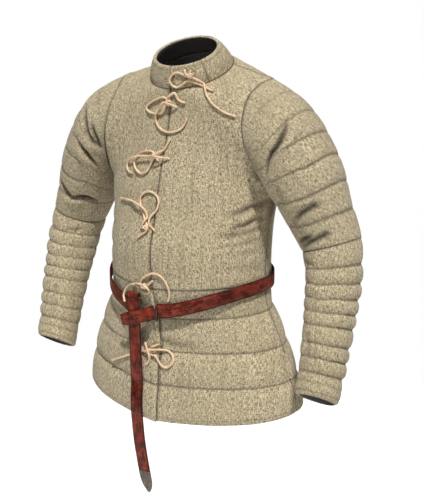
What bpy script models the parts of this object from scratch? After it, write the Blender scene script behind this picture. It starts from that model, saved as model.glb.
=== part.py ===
# A quilted arming jacket with its knotted belt, filled out as if worn.
# Metres, +Z up. The front faces -Y and the wearer's left is +X.
# The origin is the point between the shoulders where the wearer carries it,
# level with the foot of the collar at the sides of the neck.

import math

import bpy
import bmesh
from mathutils import Vector
from mathutils.bvhtree import BVHTree

# Cloth sizes
WALL = 0.010                 # padded cloth between two quilting lines
COLLAR_WALL = 0.0075
COLLAR_BULGE = 0.0022        # how far the collar's middle stands out
COLLAR_FOOT_EASE = 0.003     # how much higher the inner foot of the collar ends
SEAM_GAP = 0.0003            # between two pieces that are sewn together
INNER_EASE = 0.0011          # how much further the inner edge of a seam stays back
OPENING_GAP = 0.0012         # between the two fronts
MITRE_LIMIT = 0.5            # keeps a seam's inner edge short where the cloth turns sharply
BODY_DIP = 0.0022            # how deep the quilting lines lie in each piece
SKIRT_DIP = 0.0042
UPPER_SLEEVE_DIP = 0.0045
LOWER_SLEEVE_DIP = 0.0055
BODY_CHANNELS = 4            # channels between the centre front and the side
UPPER_SLEEVE_CHANNELS = 7
LOWER_SLEEVE_CHANNELS = 8    # above the plain cuff band
CUFF_SHARE = 0.17            # of the lower sleeve's length
VENT_TOP = 0.55              # share of the skirt's height where a side vent starts
VENT_WIDTH = 0.014           # of the open vent at the hem
OVERLAP_LIFT = 0.004         # how far the wearer's right skirt front stands out

# Mesh steps
UNDERARM_ROWS = 5            # rows of a body piece from the waist to the underarm
ARMSCYE_ROWS = 12            # rows from the underarm to the shoulder's tip
FRONT_COLUMNS = 12
BACK_COLUMNS = 12            # from the centre back to one side
SLEEVE_COLUMNS = 2 * ARMSCYE_ROWS
SKIRT_CHANNELS = 4
COLLAR_ROWS = 3
EPSILON = 0.004              # step of the slopes that give a surface's normal

# The neckline is a leaning oval, low in front and high behind
NECK_HALF_WIDTH = 0.083
NECK_HALF_DEPTH = 0.071
NECK_CENTRE_Y = -0.008
NECK_FRONT_Z = -0.0486
NECK_LEAN = 0.48             # rise of the neckline for each metre towards the back
NECK_SHOULDER_ANGLE = 20.0   # degrees on the oval where the shoulder seam starts
RIM_HALF_WIDTH = 0.066
RIM_HALF_DEPTH = 0.053
RIM_CENTRE_Y = -0.027
RIM_FRONT_Z = -0.006
RIM_LEAN = 0.52

# Centre lines of the body from the waist seam up to the neckline: y, z
CENTRE_FRONT = (
    (-0.147, -0.4175),
    (-0.152, -0.345),
    (-0.138, -0.290),
    (-0.120, -0.215),
    (-0.104, -0.165),
    (-0.090, -0.120),
    (-0.082, -0.080),
    (-0.079, -0.0486),
)
CENTRE_BACK = (
    (0.105, -0.395),
    (0.110, -0.340),
    (0.118, -0.280),
    (0.126, -0.215),
    (0.130, -0.165),
    (0.124, -0.110),
    (0.104, -0.045),
    (0.063, 0.0196),
)
UNDERARM_SHARE = 3.0 / 7.0   # of a centre line that lies below the underarm

# Side seam from the waist to the underarm: x, y, z
SIDE_SEAM = (
    (0.1700, -0.012, -0.403),
    (0.1705, -0.010, -0.350),
    (0.1740, -0.006, -0.292),
    (0.1840, 0.000, -0.238),
)
# Armscye from the underarm to the shoulder's tip: x, y, z
ARMSCYE_FRONT = (
    (0.184, 0.000, -0.238),
    (0.177, -0.040, -0.213),
    (0.165, -0.070, -0.168),
    (0.156, -0.081, -0.125),
    (0.152, -0.070, -0.085),
    (0.152, -0.046, -0.054),
    (0.160, -0.018, -0.035),
    (0.168, 0.008, -0.027),
)
ARMSCYE_BACK = (
    (0.184, 0.000, -0.238),
    (0.180, 0.042, -0.210),
    (0.172, 0.072, -0.164),
    (0.166, 0.084, -0.120),
    (0.163, 0.074, -0.080),
    (0.163, 0.050, -0.048),
    (0.165, 0.028, -0.032),
    (0.168, 0.008, -0.027),
)

# Skirt from the waist seam to the hem.
# Centre lines: y, z. Side edges: x, y, z.
SKIRT_FRONT_CENTRE = (
    (-0.147, -0.4175),
    (-0.1365, -0.465),
    (-0.1300, -0.515),
    (-0.1380, -0.567),
    (-0.1440, -0.622),
    (-0.1500, -0.683),
)
SKIRT_BACK_CENTRE = (
    (0.105, -0.395),
    (0.103, -0.445),
    (0.116, -0.500),
    (0.134, -0.555),
    (0.148, -0.610),
    (0.158, -0.668),
)
SKIRT_SIDE = (
    (0.1700, -0.012, -0.403),
    (0.1750, -0.014, -0.448),
    (0.2000, -0.015, -0.500),
    (0.2210, -0.015, -0.552),
    (0.2370, -0.014, -0.604),
    (0.2470, -0.012, -0.656),
)

# Rings of the left sleeve after the armscye.
# Centre x, y, z; the half axis towards the outside of the arm: x, z;
# the half depth towards the front, and the rise of that half axis.
UPPER_SLEEVE_RINGS = (
    (0.2025, 0.000, -0.1490, 0.0110, 0.0960, 0.090, 0.000),
    (0.2240, 0.000, -0.1705, 0.0265, 0.0850, 0.087, 0.000),
    (0.2440, 0.000, -0.1990, 0.0390, 0.0690, 0.080, 0.000),
    (0.2620, 0.000, -0.2330, 0.0490, 0.0510, 0.072, 0.000),
    (0.2780, 0.002, -0.2740, 0.0515, 0.0330, 0.064, 0.000),
    (0.2985, 0.005, -0.3220, 0.0530, 0.0170, 0.057, 0.000),
)
LOWER_SLEEVE_RINGS = (
    (0.2985, 0.005, -0.3220, 0.0530, 0.0170, 0.057, 0.000),
    (0.3095, -0.005, -0.3720, 0.0525, 0.0080, 0.055, 0.008),
    (0.3140, -0.024, -0.4380, 0.0490, 0.0020, 0.050, 0.013),
    (0.3150, -0.042, -0.4960, 0.0455, 0.0000, 0.046, 0.016),
    (0.3145, -0.057, -0.5490, 0.0420, 0.0000, 0.042, 0.019),
    (0.3130, -0.071, -0.5970, 0.0405, 0.0000, 0.040, 0.022),
)

# Belt
BELT_WIDTH = 0.028
BELT_THICKNESS = 0.003
BELT_CLEARANCE = 0.0012      # off the cloth's highest points under the strap
BELT_STEPS = 56
BELT_SPREAD = 0.06           # radians on both sides of a station that it must clear
BELT_SIDE_Z = -0.411
BELT_FRONT_DROP = 0.048      # how much lower the belt lies at the front
BELT_BACK_RISE = 0.012
BELT_RIGHT_SAG = 0.012       # how much lower it lies between the knot and the wearer's right side
BELT_AXIS_Y = -0.02          # the middle that the belt runs round
OUTSIDE = 0.6                # a place outside of the whole jacket, from its middle
BELT_FRONT_REACH = 0.150     # depth of the front at the belt
LAYER_GAP = 0.0004           # between two layers of leather
BELT_START_X = 0.0130        # beside the ring, on the wearer's left
BELT_END_X = 0.058           # behind the hanging strap, on the wearer's right
RING_X = 0.008
RING_WIRE = 0.0022
RING_STEPS = 16
BAND_STEPS = 12
BAND_SLACK = 0.0022          # how much further back than over the strap the band may lie
RING_ROOM = 0.0014           # between the leather and the ring's wire, above and below
FOLD_RADIUS = 0.0032         # of the strap's fold over the belt
FOLD_LEG = 0.010             # how far the back of the fold comes down
FOLD_STEPS = 5
TAIL_STEPS = 24
TAIL_CLEARANCE = 0.0014      # between the hanging strap and what lies behind it
TAIL_END_Z = -0.790
TIP_END_Z = -0.832
TIP_THICKNESS = 0.0046
TIP_WIDTHS = ((0.0, 0.0275), (0.45, 0.0265), (0.75, 0.0190), (1.0, 0.0050))
TAIL_FALL = 0.0003           # how far the hanging strap may fall back at each step
# Middle line of the hanging strap: height, x
TAIL_LINE = (
    (-0.428, -0.0420),
    (-0.480, -0.0400),
    (-0.560, -0.0390),
    (-0.650, -0.0370),
    (-0.720, -0.0320),
    (-0.790, -0.0200),
    (-0.832, -0.0090),
)
# Middle line of the front band from the ring to its fold: x, z
BAND_LINE = (
    (0.0034, -0.4640),
    (-0.0150, -0.4680),
    (-0.0350, -0.4735),
    (-0.0520, -0.4790),
    (-0.0660, -0.4825),
)

# Ties: leather laces, each from its eyelet to its free end.
# Points across and up the front, and how far the lace's middle stands off the cloth: x, z, lift.
LACE_DIAMETER = 0.0044
LACE_STEP = 0.011            # between two points of a lace's tube
LACES = {
    "tie_1_bow": (
        (0.041, -0.013, 0.0028), (0.040, -0.019, 0.0038), (0.035, -0.024, 0.0038),
        (0.026, -0.020, 0.0038), (0.016, -0.018, 0.0038), (0.007, -0.023, 0.0038),
        (0.003, -0.032, 0.0038), (0.007, -0.041, 0.0038), (0.017, -0.044, 0.0040),
        (0.027, -0.039, 0.0038), (0.036, -0.032, 0.0038), (0.046, -0.034, 0.0038),
        (0.060, -0.042, 0.0037), (0.074, -0.047, 0.0038), (0.087, -0.051, 0.0038),
    ),
    "tie_1_end": (
        (0.031, -0.012, 0.0028), (0.034, -0.018, 0.0078), (0.038, -0.022, 0.0098),
        (0.047, -0.027, 0.0070), (0.060, -0.036, 0.0088), (0.069, -0.045, 0.0088),
        (0.078, -0.057, 0.0050), (0.091, -0.070, 0.0038), (0.105, -0.079, 0.0037),
        (0.120, -0.086, 0.0037), (0.143, -0.093, 0.0037),
    ),
    "tie_2_bow": (
        (-0.006, -0.079, 0.0028), (-0.003, -0.070, 0.0038), (-0.014, -0.064, 0.0038),
        (-0.034, -0.070, 0.0038), (-0.049, -0.079, 0.0038), (-0.052, -0.087, 0.0038),
        (-0.040, -0.094, 0.0038), (-0.022, -0.094, 0.0038), (-0.010, -0.087, 0.0070),
        (-0.004, -0.077, 0.0094), (0.001, -0.066, 0.0094), (0.006, -0.056, 0.0060),
        (0.011, -0.053, 0.0040), (0.014, -0.059, 0.0037), (0.017, -0.066, 0.0037),
        (0.025, -0.070, 0.0037), (0.036, -0.072, 0.0037),
    ),
    "tie_2_end": (
        (0.017, -0.081, 0.0028), (0.010, -0.077, 0.0090), (0.002, -0.073, 0.0150),
        (-0.007, -0.074, 0.0152), (-0.018, -0.084, 0.0110), (-0.025, -0.095, 0.0094),
        (-0.028, -0.107, 0.0038), (-0.019, -0.119, 0.0037), (-0.004, -0.126, 0.0037),
        (0.012, -0.127, 0.0037), (0.028, -0.121, 0.0037), (0.038, -0.110, 0.0037),
        (0.041, -0.098, 0.0037),
    ),
    "tie_3_bow": (
        (-0.008, -0.180, 0.0028), (-0.013, -0.173, 0.0038), (-0.024, -0.165, 0.0037),
        (-0.040, -0.165, 0.0037), (-0.058, -0.170, 0.0037), (-0.069, -0.182, 0.0037),
        (-0.067, -0.196, 0.0037), (-0.050, -0.206, 0.0037), (-0.034, -0.203, 0.0037),
        (-0.025, -0.191, 0.0038), (-0.017, -0.178, 0.0086), (-0.010, -0.168, 0.0098),
        (-0.001, -0.160, 0.0050), (0.006, -0.152, 0.0037), (0.012, -0.138, 0.0037),
    ),
    "tie_3_end": (
        (0.016, -0.174, 0.0028), (0.006, -0.173, 0.0080), (-0.004, -0.173, 0.0148),
        (-0.015, -0.172, 0.0154), (-0.028, -0.173, 0.0086), (-0.046, -0.174, 0.0090),
        (-0.062, -0.177, 0.0094), (-0.078, -0.181, 0.0082), (-0.090, -0.190, 0.0038),
        (-0.090, -0.200, 0.0037), (-0.081, -0.207, 0.0037), (-0.070, -0.208, 0.0037),
    ),
    "tie_4_bow": (
        (0.008, -0.306, 0.0028), (0.000, -0.301, 0.0038), (-0.008, -0.294, 0.0038),
        (-0.006, -0.281, 0.0037), (0.005, -0.268, 0.0037), (0.008, -0.253, 0.0037),
        (-0.001, -0.242, 0.0037), (-0.013, -0.236, 0.0037), (-0.028, -0.239, 0.0037),
        (-0.037, -0.250, 0.0037), (-0.033, -0.264, 0.0037), (-0.024, -0.277, 0.0038),
        (-0.015, -0.289, 0.0074), (-0.006, -0.299, 0.0086), (-0.011, -0.308, 0.0050),
        (-0.021, -0.315, 0.0037), (-0.030, -0.321, 0.0037),
    ),
    "tie_4_end": (
        (-0.024, -0.304, 0.0028), (-0.019, -0.296, 0.0090), (-0.012, -0.290, 0.0146),
        (-0.010, -0.282, 0.0096), (-0.014, -0.273, 0.0086), (-0.026, -0.265, 0.0088),
        (-0.043, -0.260, 0.0084), (-0.062, -0.258, 0.0040), (-0.080, -0.258, 0.0037),
        (-0.100, -0.259, 0.0037),
    ),
    "tie_5_bow": (
        (0.006, -0.399, 0.0028), (-0.003, -0.407, 0.0038), (-0.011, -0.415, 0.0038),
        (-0.020, -0.414, 0.0038), (-0.021, -0.403, 0.0037), (-0.010, -0.392, 0.0037),
        (0.009, -0.384, 0.0037), (0.026, -0.388, 0.0037), (0.036, -0.402, 0.0037),
        (0.040, -0.420, 0.0037), (0.035, -0.436, 0.0037),
    ),
    "tie_5_end": (
        (-0.024, -0.424, 0.0028), (-0.014, -0.427, 0.0038), (-0.004, -0.423, 0.0040),
        (-0.003, -0.414, 0.0080), (-0.012, -0.409, 0.0094), (-0.024, -0.408, 0.0090),
        (-0.038, -0.411, 0.0040), (-0.055, -0.418, 0.0037), (-0.067, -0.428, 0.0056),
        (-0.072, -0.440, 0.0105), (-0.067, -0.453, 0.0052),
    ),
    "tie_6_bow": (
        (0.005, -0.529, 0.0028), (-0.004, -0.534, 0.0058), (-0.010, -0.539, 0.0040), (-0.014, -0.545, 0.0038),
        (-0.007, -0.551, 0.0040), (0.003, -0.550, 0.0090), (0.009, -0.559, 0.0060),
        (0.018, -0.568, 0.0037), (0.030, -0.569, 0.0037), (0.041, -0.558, 0.0037),
        (0.037, -0.546, 0.0037), (0.024, -0.539, 0.0037), (0.009, -0.538, 0.0090),
        (-0.004, -0.541, 0.0092), (-0.017, -0.545, 0.0092), (-0.028, -0.549, 0.0040),
        (-0.044, -0.554, 0.0037), (-0.067, -0.564, 0.0037), (-0.091, -0.575, 0.0037),
        (-0.119, -0.588, 0.0037),
    ),
    "tie_6_end": (
        (-0.026, -0.531, 0.0028), (-0.020, -0.537, 0.0070), (-0.013, -0.541, 0.0146),
        (-0.008, -0.547, 0.0142), (-0.007, -0.556, 0.0080), (-0.011, -0.564, 0.0040),
        (-0.017, -0.571, 0.0037),
    ),
}

COLOURS = {
    "cloth": ((0.43, 0.38, 0.27, 1.0), 0.95, 0.0),
    "leather": ((0.17, 0.05, 0.03, 1.0), 0.55, 0.0),
    "lace": ((0.76, 0.58, 0.40, 1.0), 0.70, 0.0),
    "iron": ((0.16, 0.15, 0.14, 1.0), 0.45, 1.0),
}


def clear_scene():
    for item in list(bpy.data.objects):
        bpy.data.objects.remove(item, do_unlink=True)


def make_materials():
    made = {}
    for name, (colour, roughness, metallic) in COLOURS.items():
        material = bpy.data.materials.new(name)
        material.use_nodes = True
        shader = material.node_tree.nodes["Principled BSDF"]
        shader.inputs["Base Color"].default_value = colour
        shader.inputs["Roughness"].default_value = roughness
        shader.inputs["Metallic"].default_value = metallic
        made[name] = material
    return made


def add_mesh(name, bm, collection, material):
    bmesh.ops.recalc_face_normals(bm, faces=bm.faces)
    mesh = bpy.data.meshes.new(name)
    bm.to_mesh(mesh)
    bm.free()
    mesh.materials.append(material)
    item = bpy.data.objects.new(name, mesh)
    collection.objects.link(item)
    return item


# Curves through a table's rows

def spline(rows, share):
    """The table's columns at a share of its length, on a smooth curve through its rows."""
    last = len(rows) - 1
    place = min(max(share, 0.0), 1.0) * last
    index = min(int(place), last - 1)
    t = place - index
    before = rows[max(index - 1, 0)]
    start = rows[index]
    end = rows[index + 1]
    after = rows[min(index + 2, last)]
    columns = []
    for a, b, c, d in zip(before, start, end, after):
        slope_in = (c - a) / 2
        slope_out = (d - b) / 2
        columns.append(
            b * (2 * t ** 3 - 3 * t ** 2 + 1)
            + slope_in * (t ** 3 - 2 * t ** 2 + t)
            + c * (3 * t ** 2 - 2 * t ** 3)
            + slope_out * (t ** 3 - t ** 2)
        )
    return columns


def arc_between(centre, side, roundness, u):
    """A point on the curve from the centre line to the side.

    Roundness 0 is a straight line, and 1 is a quarter of an oval.
    """
    third = 1.0 / 3.0
    full = 0.5523
    near = third + roundness * (full - third)
    flat = third * (1.0 - roundness)
    reach = side - centre
    first = centre + Vector((near * reach.x, flat * reach.y, third * reach.z))
    second = side - Vector((flat * reach.x, near * reach.y, third * reach.z))
    w = 1.0 - u
    return w ** 3 * centre + 3 * w * w * u * first + 3 * w * u * u * second + u ** 3 * side


def neck_point(degrees):
    angle = math.radians(degrees)
    y = NECK_CENTRE_Y + NECK_HALF_DEPTH * math.sin(angle)
    front_y = NECK_CENTRE_Y - NECK_HALF_DEPTH
    return Vector((NECK_HALF_WIDTH * math.cos(angle), y, NECK_FRONT_Z + NECK_LEAN * (y - front_y)))


def rim_point(degrees):
    angle = math.radians(degrees)
    y = RIM_CENTRE_Y + RIM_HALF_DEPTH * math.sin(angle)
    front_y = RIM_CENTRE_Y - RIM_HALF_DEPTH
    return Vector((RIM_HALF_WIDTH * math.cos(angle), y, RIM_FRONT_Z + RIM_LEAN * (y - front_y)))


# Body pieces. v runs from the waist seam (0) to the shoulder seam (1),
# and u from the centre line or neckline (0) to the side seam or armscye (1).

V_UNDERARM = UNDERARM_ROWS / (UNDERARM_ROWS + ARMSCYE_ROWS)


def neck_degrees(back, share):
    start = 90.0 if back else -90.0
    return start + share * (NECK_SHOULDER_ANGLE - start)


def body_point(back, u, v):
    centre_line = CENTRE_BACK if back else CENTRE_FRONT
    if v < V_UNDERARM:
        low = v / V_UNDERARM
        y, z = spline(centre_line, low * UNDERARM_SHARE)
        centre = Vector((0.0, y, z))
        side = Vector(spline(SIDE_SEAM, low))
        roundness = 1.0 - 0.12 * low
    else:
        high = (v - V_UNDERARM) / (1.0 - V_UNDERARM)
        side = Vector(spline(ARMSCYE_BACK if back else ARMSCYE_FRONT, high))
        if high <= 0.5:
            share = UNDERARM_SHARE + (1.0 - UNDERARM_SHARE) * high / 0.5
            y, z = spline(centre_line, share)
            centre = Vector((0.0, y, z))
        else:
            centre = neck_point(neck_degrees(back, (high - 0.5) / 0.5))
        roundness = 0.88 * (1.0 - high) ** 0.8
    return arc_between(centre, side, roundness, u)


def skirt_point(back, u, w):
    """w runs from the waist seam (0) to the hem (1)."""
    centre_line = SKIRT_BACK_CENTRE if back else SKIRT_FRONT_CENTRE
    y, z = spline(centre_line, w)
    side = Vector(spline(SKIRT_SIDE, w))
    opened = max(0.0, (w - VENT_TOP) / (1.0 - VENT_TOP))
    side.y += (0.5 if back else -0.5) * VENT_WIDTH * opened
    return arc_between(Vector((0.0, y, z)), side, 1.0 - 0.1 * w, u)


def armscye_point(turn):
    """turn 0 is the underarm, a quarter the front, a half the shoulder's tip."""
    if turn <= 0.5:
        return Vector(spline(ARMSCYE_FRONT, turn / 0.5))
    return Vector(spline(ARMSCYE_BACK, (1.0 - turn) / 0.5))


def ring_point(row, turn):
    x, y, z, out_x, out_z, depth, rise = row
    angle = 2.0 * math.pi * turn
    centre = Vector((x, y, z))
    outward = Vector((out_x, 0.0, out_z))
    forward = Vector((0.0, -depth, rise))
    return centre - outward * math.cos(angle) + forward * math.sin(angle)


def upper_sleeve_point(turn, w):
    turn = turn % 1.0
    rows = [tuple(armscye_point(turn))]
    rows += [tuple(ring_point(row, turn)) for row in UPPER_SLEEVE_RINGS]
    return Vector(spline(rows, w))


def lower_sleeve_point(turn, w):
    return ring_point(spline(LOWER_SLEEVE_RINGS, w), turn)


def normal_of(surface, u, v, outward_from):
    """The surface's outward normal, by the slopes on both sides of the point."""
    u_low, u_high = max(u - EPSILON, 0.0), min(u + EPSILON, 1.0)
    v_low, v_high = max(v - EPSILON, 0.0), min(v + EPSILON, 1.0)
    along_u = surface(u_high, v) - surface(u_low, v)
    along_v = surface(u, v_high) - surface(u, v_low)
    normal = along_u.cross(along_v).normalized()
    if normal.dot(surface(u, v) - outward_from) < 0.0:
        normal = -normal
    return normal


def torso_axis(point):
    """A point inside the torso level with the given one, a little lower above the chest."""
    return Vector((0.0, 0.0, min(point.z, -0.16)))


def body_normal(back, u, v):
    point = body_point(back, u, v)
    return normal_of(lambda a, b: body_point(back, a, b), u, v, torso_axis(point))


def skirt_normal(back, u, w):
    point = skirt_point(back, u, w)
    return normal_of(lambda a, b: skirt_point(back, a, b), u, w, Vector((0.0, 0.0, point.z)))


def sleeve_normal(surface, turn, w):
    around = surface(turn + EPSILON, w) - surface(turn - EPSILON, w)
    w_low, w_high = max(w - EPSILON, 0.0), min(w + EPSILON, 1.0)
    along = surface(turn, w_high) - surface(turn, w_low)
    middle = (surface(turn, w) + surface(turn + 0.5, w)) / 2
    normal = around.cross(along).normalized()
    if normal.dot(surface(turn, w) - middle) < 0.0:
        normal = -normal
    return normal


def mitre(first, second):
    """The direction that keeps one wall thickness on both sides of a seam."""
    return (first + second) / max(1.0 + first.dot(second), MITRE_LIMIT)


# Walls

def stitch(bm, first, second):
    """Fill the strip between two lines of points, which may differ in number."""
    i = j = 0
    while i < len(first) - 1 or j < len(second) - 1:
        next_first = (i + 1) / (len(first) - 1)
        next_second = (j + 1) / (len(second) - 1)
        if j == len(second) - 1 or (i < len(first) - 1 and next_first <= next_second):
            bm.faces.new((first[i], first[i + 1], second[j]))
            i += 1
        else:
            bm.faces.new((first[i], second[j + 1], second[j]))
            j += 1


def draw_in(grid, amount, columns=True, rows=True):
    """Move the borders of a grid of points inwards along its own lines."""
    if columns:
        for line in grid:
            for edge, inside in ((0, 1), (-1, -2)):
                line[edge] = line[edge] + (line[inside] - line[edge]).normalized() * amount
    if rows:
        for edge, inside in ((0, 1), (-1, -2)):
            for k in range(len(grid[edge])):
                shift = (grid[inside][k] - grid[edge][k]).normalized() * amount
                grid[edge][k] = grid[edge][k] + shift


def fill_grid(bm, grid, closed=False):
    verts = [[bm.verts.new(point) for point in line] for line in grid]
    for low, high in zip(verts, verts[1:]):
        count = len(low)
        for k in range(count if closed else count - 1):
            n = (k + 1) % count
            bm.faces.new((low[k], low[n], high[n], high[k]))
    return verts


def panel(outer, inner):
    """A closed wall from an outer and an inner grid of points."""
    draw_in(outer, SEAM_GAP / 2)
    draw_in(inner, SEAM_GAP / 2 + INNER_EASE)
    bm = bmesh.new()
    out = fill_grid(bm, outer)
    ins = fill_grid(bm, inner)
    stitch(bm, out[0], ins[0])
    stitch(bm, out[-1], ins[-1])
    stitch(bm, [line[0] for line in out], [line[0] for line in ins])
    stitch(bm, [line[-1] for line in out], [line[-1] for line in ins])
    return bm


def tube(outer, inner):
    """A closed wall from outer and inner rings of points."""
    draw_in(outer, SEAM_GAP / 2, columns=False)
    draw_in(inner, SEAM_GAP / 2 + INNER_EASE, columns=False)
    bm = bmesh.new()
    out = fill_grid(bm, outer, closed=True)
    ins = fill_grid(bm, inner, closed=True)
    for end in (0, -1):
        stitch(bm, out[end] + [out[end][0]], ins[end] + [ins[end][0]])
    return bm


def mirrored(bm):
    for vert in bm.verts:
        vert.co.x = -vert.co.x
    return bm


def channel_dip(place, lines, width):
    """1 on a quilting line and 0 from half a channel away, rounded between."""
    nearest = min(abs(place - line) for line in lines)
    return max(0.0, 1.0 - nearest / width) ** 2


def body_wall_direction(back, u, v):
    own = body_normal(back, u, v)
    if v <= 0.0:
        return mitre(own, skirt_normal(back, u, 0.0))
    if v >= 1.0:
        return mitre(own, body_normal(not back, u, v))
    if u >= 1.0 and v > V_UNDERARM:
        high = (v - V_UNDERARM) / (1.0 - V_UNDERARM)
        turn = 1.0 - high / 2 if back else high / 2
        return mitre(own, sleeve_normal(upper_sleeve_point, turn, 0.0))
    if u >= 1.0:
        return mitre(own, body_normal(not back, u, v))
    high = (v - V_UNDERARM) / (1.0 - V_UNDERARM)
    if u <= 0.0 and high >= 0.5:
        return mitre(own, collar_normal(neck_degrees(back, (high - 0.5) / 0.5), 0.0))
    return own


def body_grids(back, columns, rows_low, rows_high, quilted):
    """Rows of points of one half of a body piece, from the centre line to the side."""
    grid = []
    shares = [i / rows_low * V_UNDERARM for i in range(rows_low)]
    shares += [V_UNDERARM + i / rows_high * (1.0 - V_UNDERARM) for i in range(rows_high + 1)]
    lines = [i / BODY_CHANNELS for i in range(1, BODY_CHANNELS)]
    for v in shares:
        line = []
        for k in range(columns + 1):
            u = k / columns
            point = body_point(back, u, v)
            if quilted:
                dip = BODY_DIP * channel_dip(u, lines, 0.5 / BODY_CHANNELS)
                inwards = body_normal(back, u, v) if 0.0 < v < 1.0 else body_wall_direction(back, u, v)
                point -= inwards * dip
            else:
                point -= body_wall_direction(back, u, v) * WALL
            line.append(point)
        grid.append(line)
    return grid


def skirt_wall_direction(back, u, w):
    own = skirt_normal(back, u, w)
    if w <= 0.0:
        return mitre(own, body_normal(back, u, 0.0))
    if u >= 1.0:
        return mitre(own, skirt_normal(not back, u, w))
    return own


def skirt_grids(back, columns, rows, quilted):
    grid = []
    lines = [i / SKIRT_CHANNELS for i in range(1, SKIRT_CHANNELS)]
    for i in range(rows + 1):
        w = i / rows
        line = []
        for k in range(columns + 1):
            u = k / columns
            point = skirt_point(back, u, w)
            if quilted:
                dip = SKIRT_DIP * channel_dip(w, lines, 0.5 / SKIRT_CHANNELS)
                point -= skirt_wall_direction(back, u, w) * dip
            else:
                point -= skirt_wall_direction(back, u, w) * WALL
            line.append(point)
        grid.append(line)
    return grid


def both_halves(grid):
    """Mirror rows that start at the centre line, so that one piece runs from side to side."""
    whole = []
    for line in grid:
        left = [Vector((-point.x, point.y, point.z)) for point in reversed(line[1:])]
        whole.append(left + line)
    return whole


def make_body(collection, cloth):
    for side, name in ((1, "body_front_left"), (-1, "body_front_right")):
        outer = body_grids(False, FRONT_COLUMNS, UNDERARM_ROWS, ARMSCYE_ROWS, True)
        inner = body_grids(False, FRONT_COLUMNS // 2, UNDERARM_ROWS, ARMSCYE_ROWS, False)
        for line in outer + inner:
            if abs(line[0].x) < 1e-6:
                line[0].x += OPENING_GAP / 2
        bm = panel(outer, inner)
        if side < 0:
            mirrored(bm)
        add_mesh(name, bm, collection, cloth)


def make_back(collection, cloth):
    """One piece from side to side. Above the neck's centre its two shoulders part."""
    bm = bmesh.new()
    neck_row = UNDERARM_ROWS + ARMSCYE_ROWS // 2
    sheets = {}
    for label, columns, amount in (
        ("outer", BACK_COLUMNS, SEAM_GAP / 2),
        ("inner", BACK_COLUMNS // 2, SEAM_GAP / 2 + INNER_EASE),
    ):
        half = body_grids(True, columns, UNDERARM_ROWS, ARMSCYE_ROWS, label == "outer")
        for edge, inside in ((0, 1), (-1, -2)):
            for k, point in enumerate(half[edge]):
                half[edge][k] = point + (half[inside][k] - point).normalized() * amount
        for i, line in enumerate(half):
            line[-1] = line[-1] + (line[-2] - line[-1]).normalized() * amount
            if i > neck_row:
                line[0] = line[0] + (line[1] - line[0]).normalized() * amount
        half[neck_row][0] = half[neck_row][0] + Vector((0.0, 0.0, -amount))
        right = [[bm.verts.new(point) for point in line] for line in half]
        left = []
        for i, line in enumerate(half):
            verts = [bm.verts.new((-point.x, point.y, point.z)) for point in line[1:]]
            shared = right[i][0] if i <= neck_row else bm.verts.new((-line[0].x, line[0].y, line[0].z))
            left.append([shared] + verts)
        for verts in (right, left):
            for low, high in zip(verts, verts[1:]):
                for k in range(len(low) - 1):
                    bm.faces.new((low[k], low[k + 1], high[k + 1], high[k]))
        sheets[label] = (right, left)
    for outer, inner in zip(sheets["outer"], sheets["inner"]):
        stitch(bm, outer[0], inner[0])
        stitch(bm, outer[-1], inner[-1])
        outer_edge = [line[-1] for line in outer]
        inner_edge = [line[-1] for line in inner]
        stitch(bm, outer_edge[:UNDERARM_ROWS + 1], inner_edge[:UNDERARM_ROWS + 1])
        # The armscye runs down from the shoulder, as the sleeve's own edge does at the back.
        stitch(bm, outer_edge[:UNDERARM_ROWS - 1:-1], inner_edge[:UNDERARM_ROWS - 1:-1])
        stitch(bm, [line[0] for line in outer[neck_row:]], [line[0] for line in inner[neck_row:]])
    add_mesh("body_back", bm, collection, cloth)


def make_skirt(collection, cloth):
    rows = 3 * SKIRT_CHANNELS
    inner_rows = SKIRT_CHANNELS + 1
    for side, name in ((1, "skirt_front_left"), (-1, "skirt_front_right")):
        outer = skirt_grids(False, FRONT_COLUMNS, rows, True)
        inner = skirt_grids(False, FRONT_COLUMNS // 2, inner_rows, False)
        for grid, count in ((outer, FRONT_COLUMNS), (inner, FRONT_COLUMNS // 2)):
            last = len(grid) - 1
            for i, line in enumerate(grid):
                line[0].x += OPENING_GAP / 2
                if side < 0:
                    for k, point in enumerate(line):
                        near = max(0.0, 1.0 - 4.0 * k / count)
                        point.y -= OVERLAP_LIFT * near * min(1.0, 2.0 * i / last)
        bm = panel(outer, inner)
        if side < 0:
            mirrored(bm)
        add_mesh(name, bm, collection, cloth)
    outer = both_halves(skirt_grids(True, BACK_COLUMNS, rows, True))
    inner = both_halves(skirt_grids(True, BACK_COLUMNS // 2, inner_rows, False))
    add_mesh("skirt_back", panel(outer, inner), collection, cloth)


# Sleeves

def armscye_body_normal(turn):
    back = turn > 0.5
    high = (1.0 - turn) / 0.5 if back else turn / 0.5
    return body_normal(back, 1.0, V_UNDERARM + high * (1.0 - V_UNDERARM))


def lower_lines():
    share = (1.0 - CUFF_SHARE) / LOWER_SLEEVE_CHANNELS
    return [share * (i + 1) for i in range(LOWER_SLEEVE_CHANNELS)]


def sleeve_shares(lines):
    """Rings on each quilting line and on each crown between two lines."""
    stops = [0.0] + [line for line in lines if 0.0 < line < 1.0] + [1.0]
    shares = [0.0]
    for low, high in zip(stops, stops[1:]):
        shares += [(low + high) / 2, high]
    return shares


def sleeve_rings(surface, shares, dip_depth, lines, inward):
    rings = []
    for w in shares:
        ring = []
        for k in range(SLEEVE_COLUMNS):
            turn = k / SLEEVE_COLUMNS
            point = surface(turn, w)
            if inward:
                point -= inward(turn, w) * WALL
            elif any(abs(w - line) < 1e-6 for line in lines):
                outer_share = 0.5 - 0.5 * math.cos(2.0 * math.pi * turn)
                dip = dip_depth * (0.35 + 0.65 * outer_share)
                point -= sleeve_normal(surface, turn, w) * dip
            ring.append(point)
        rings.append(ring)
    return rings


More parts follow.
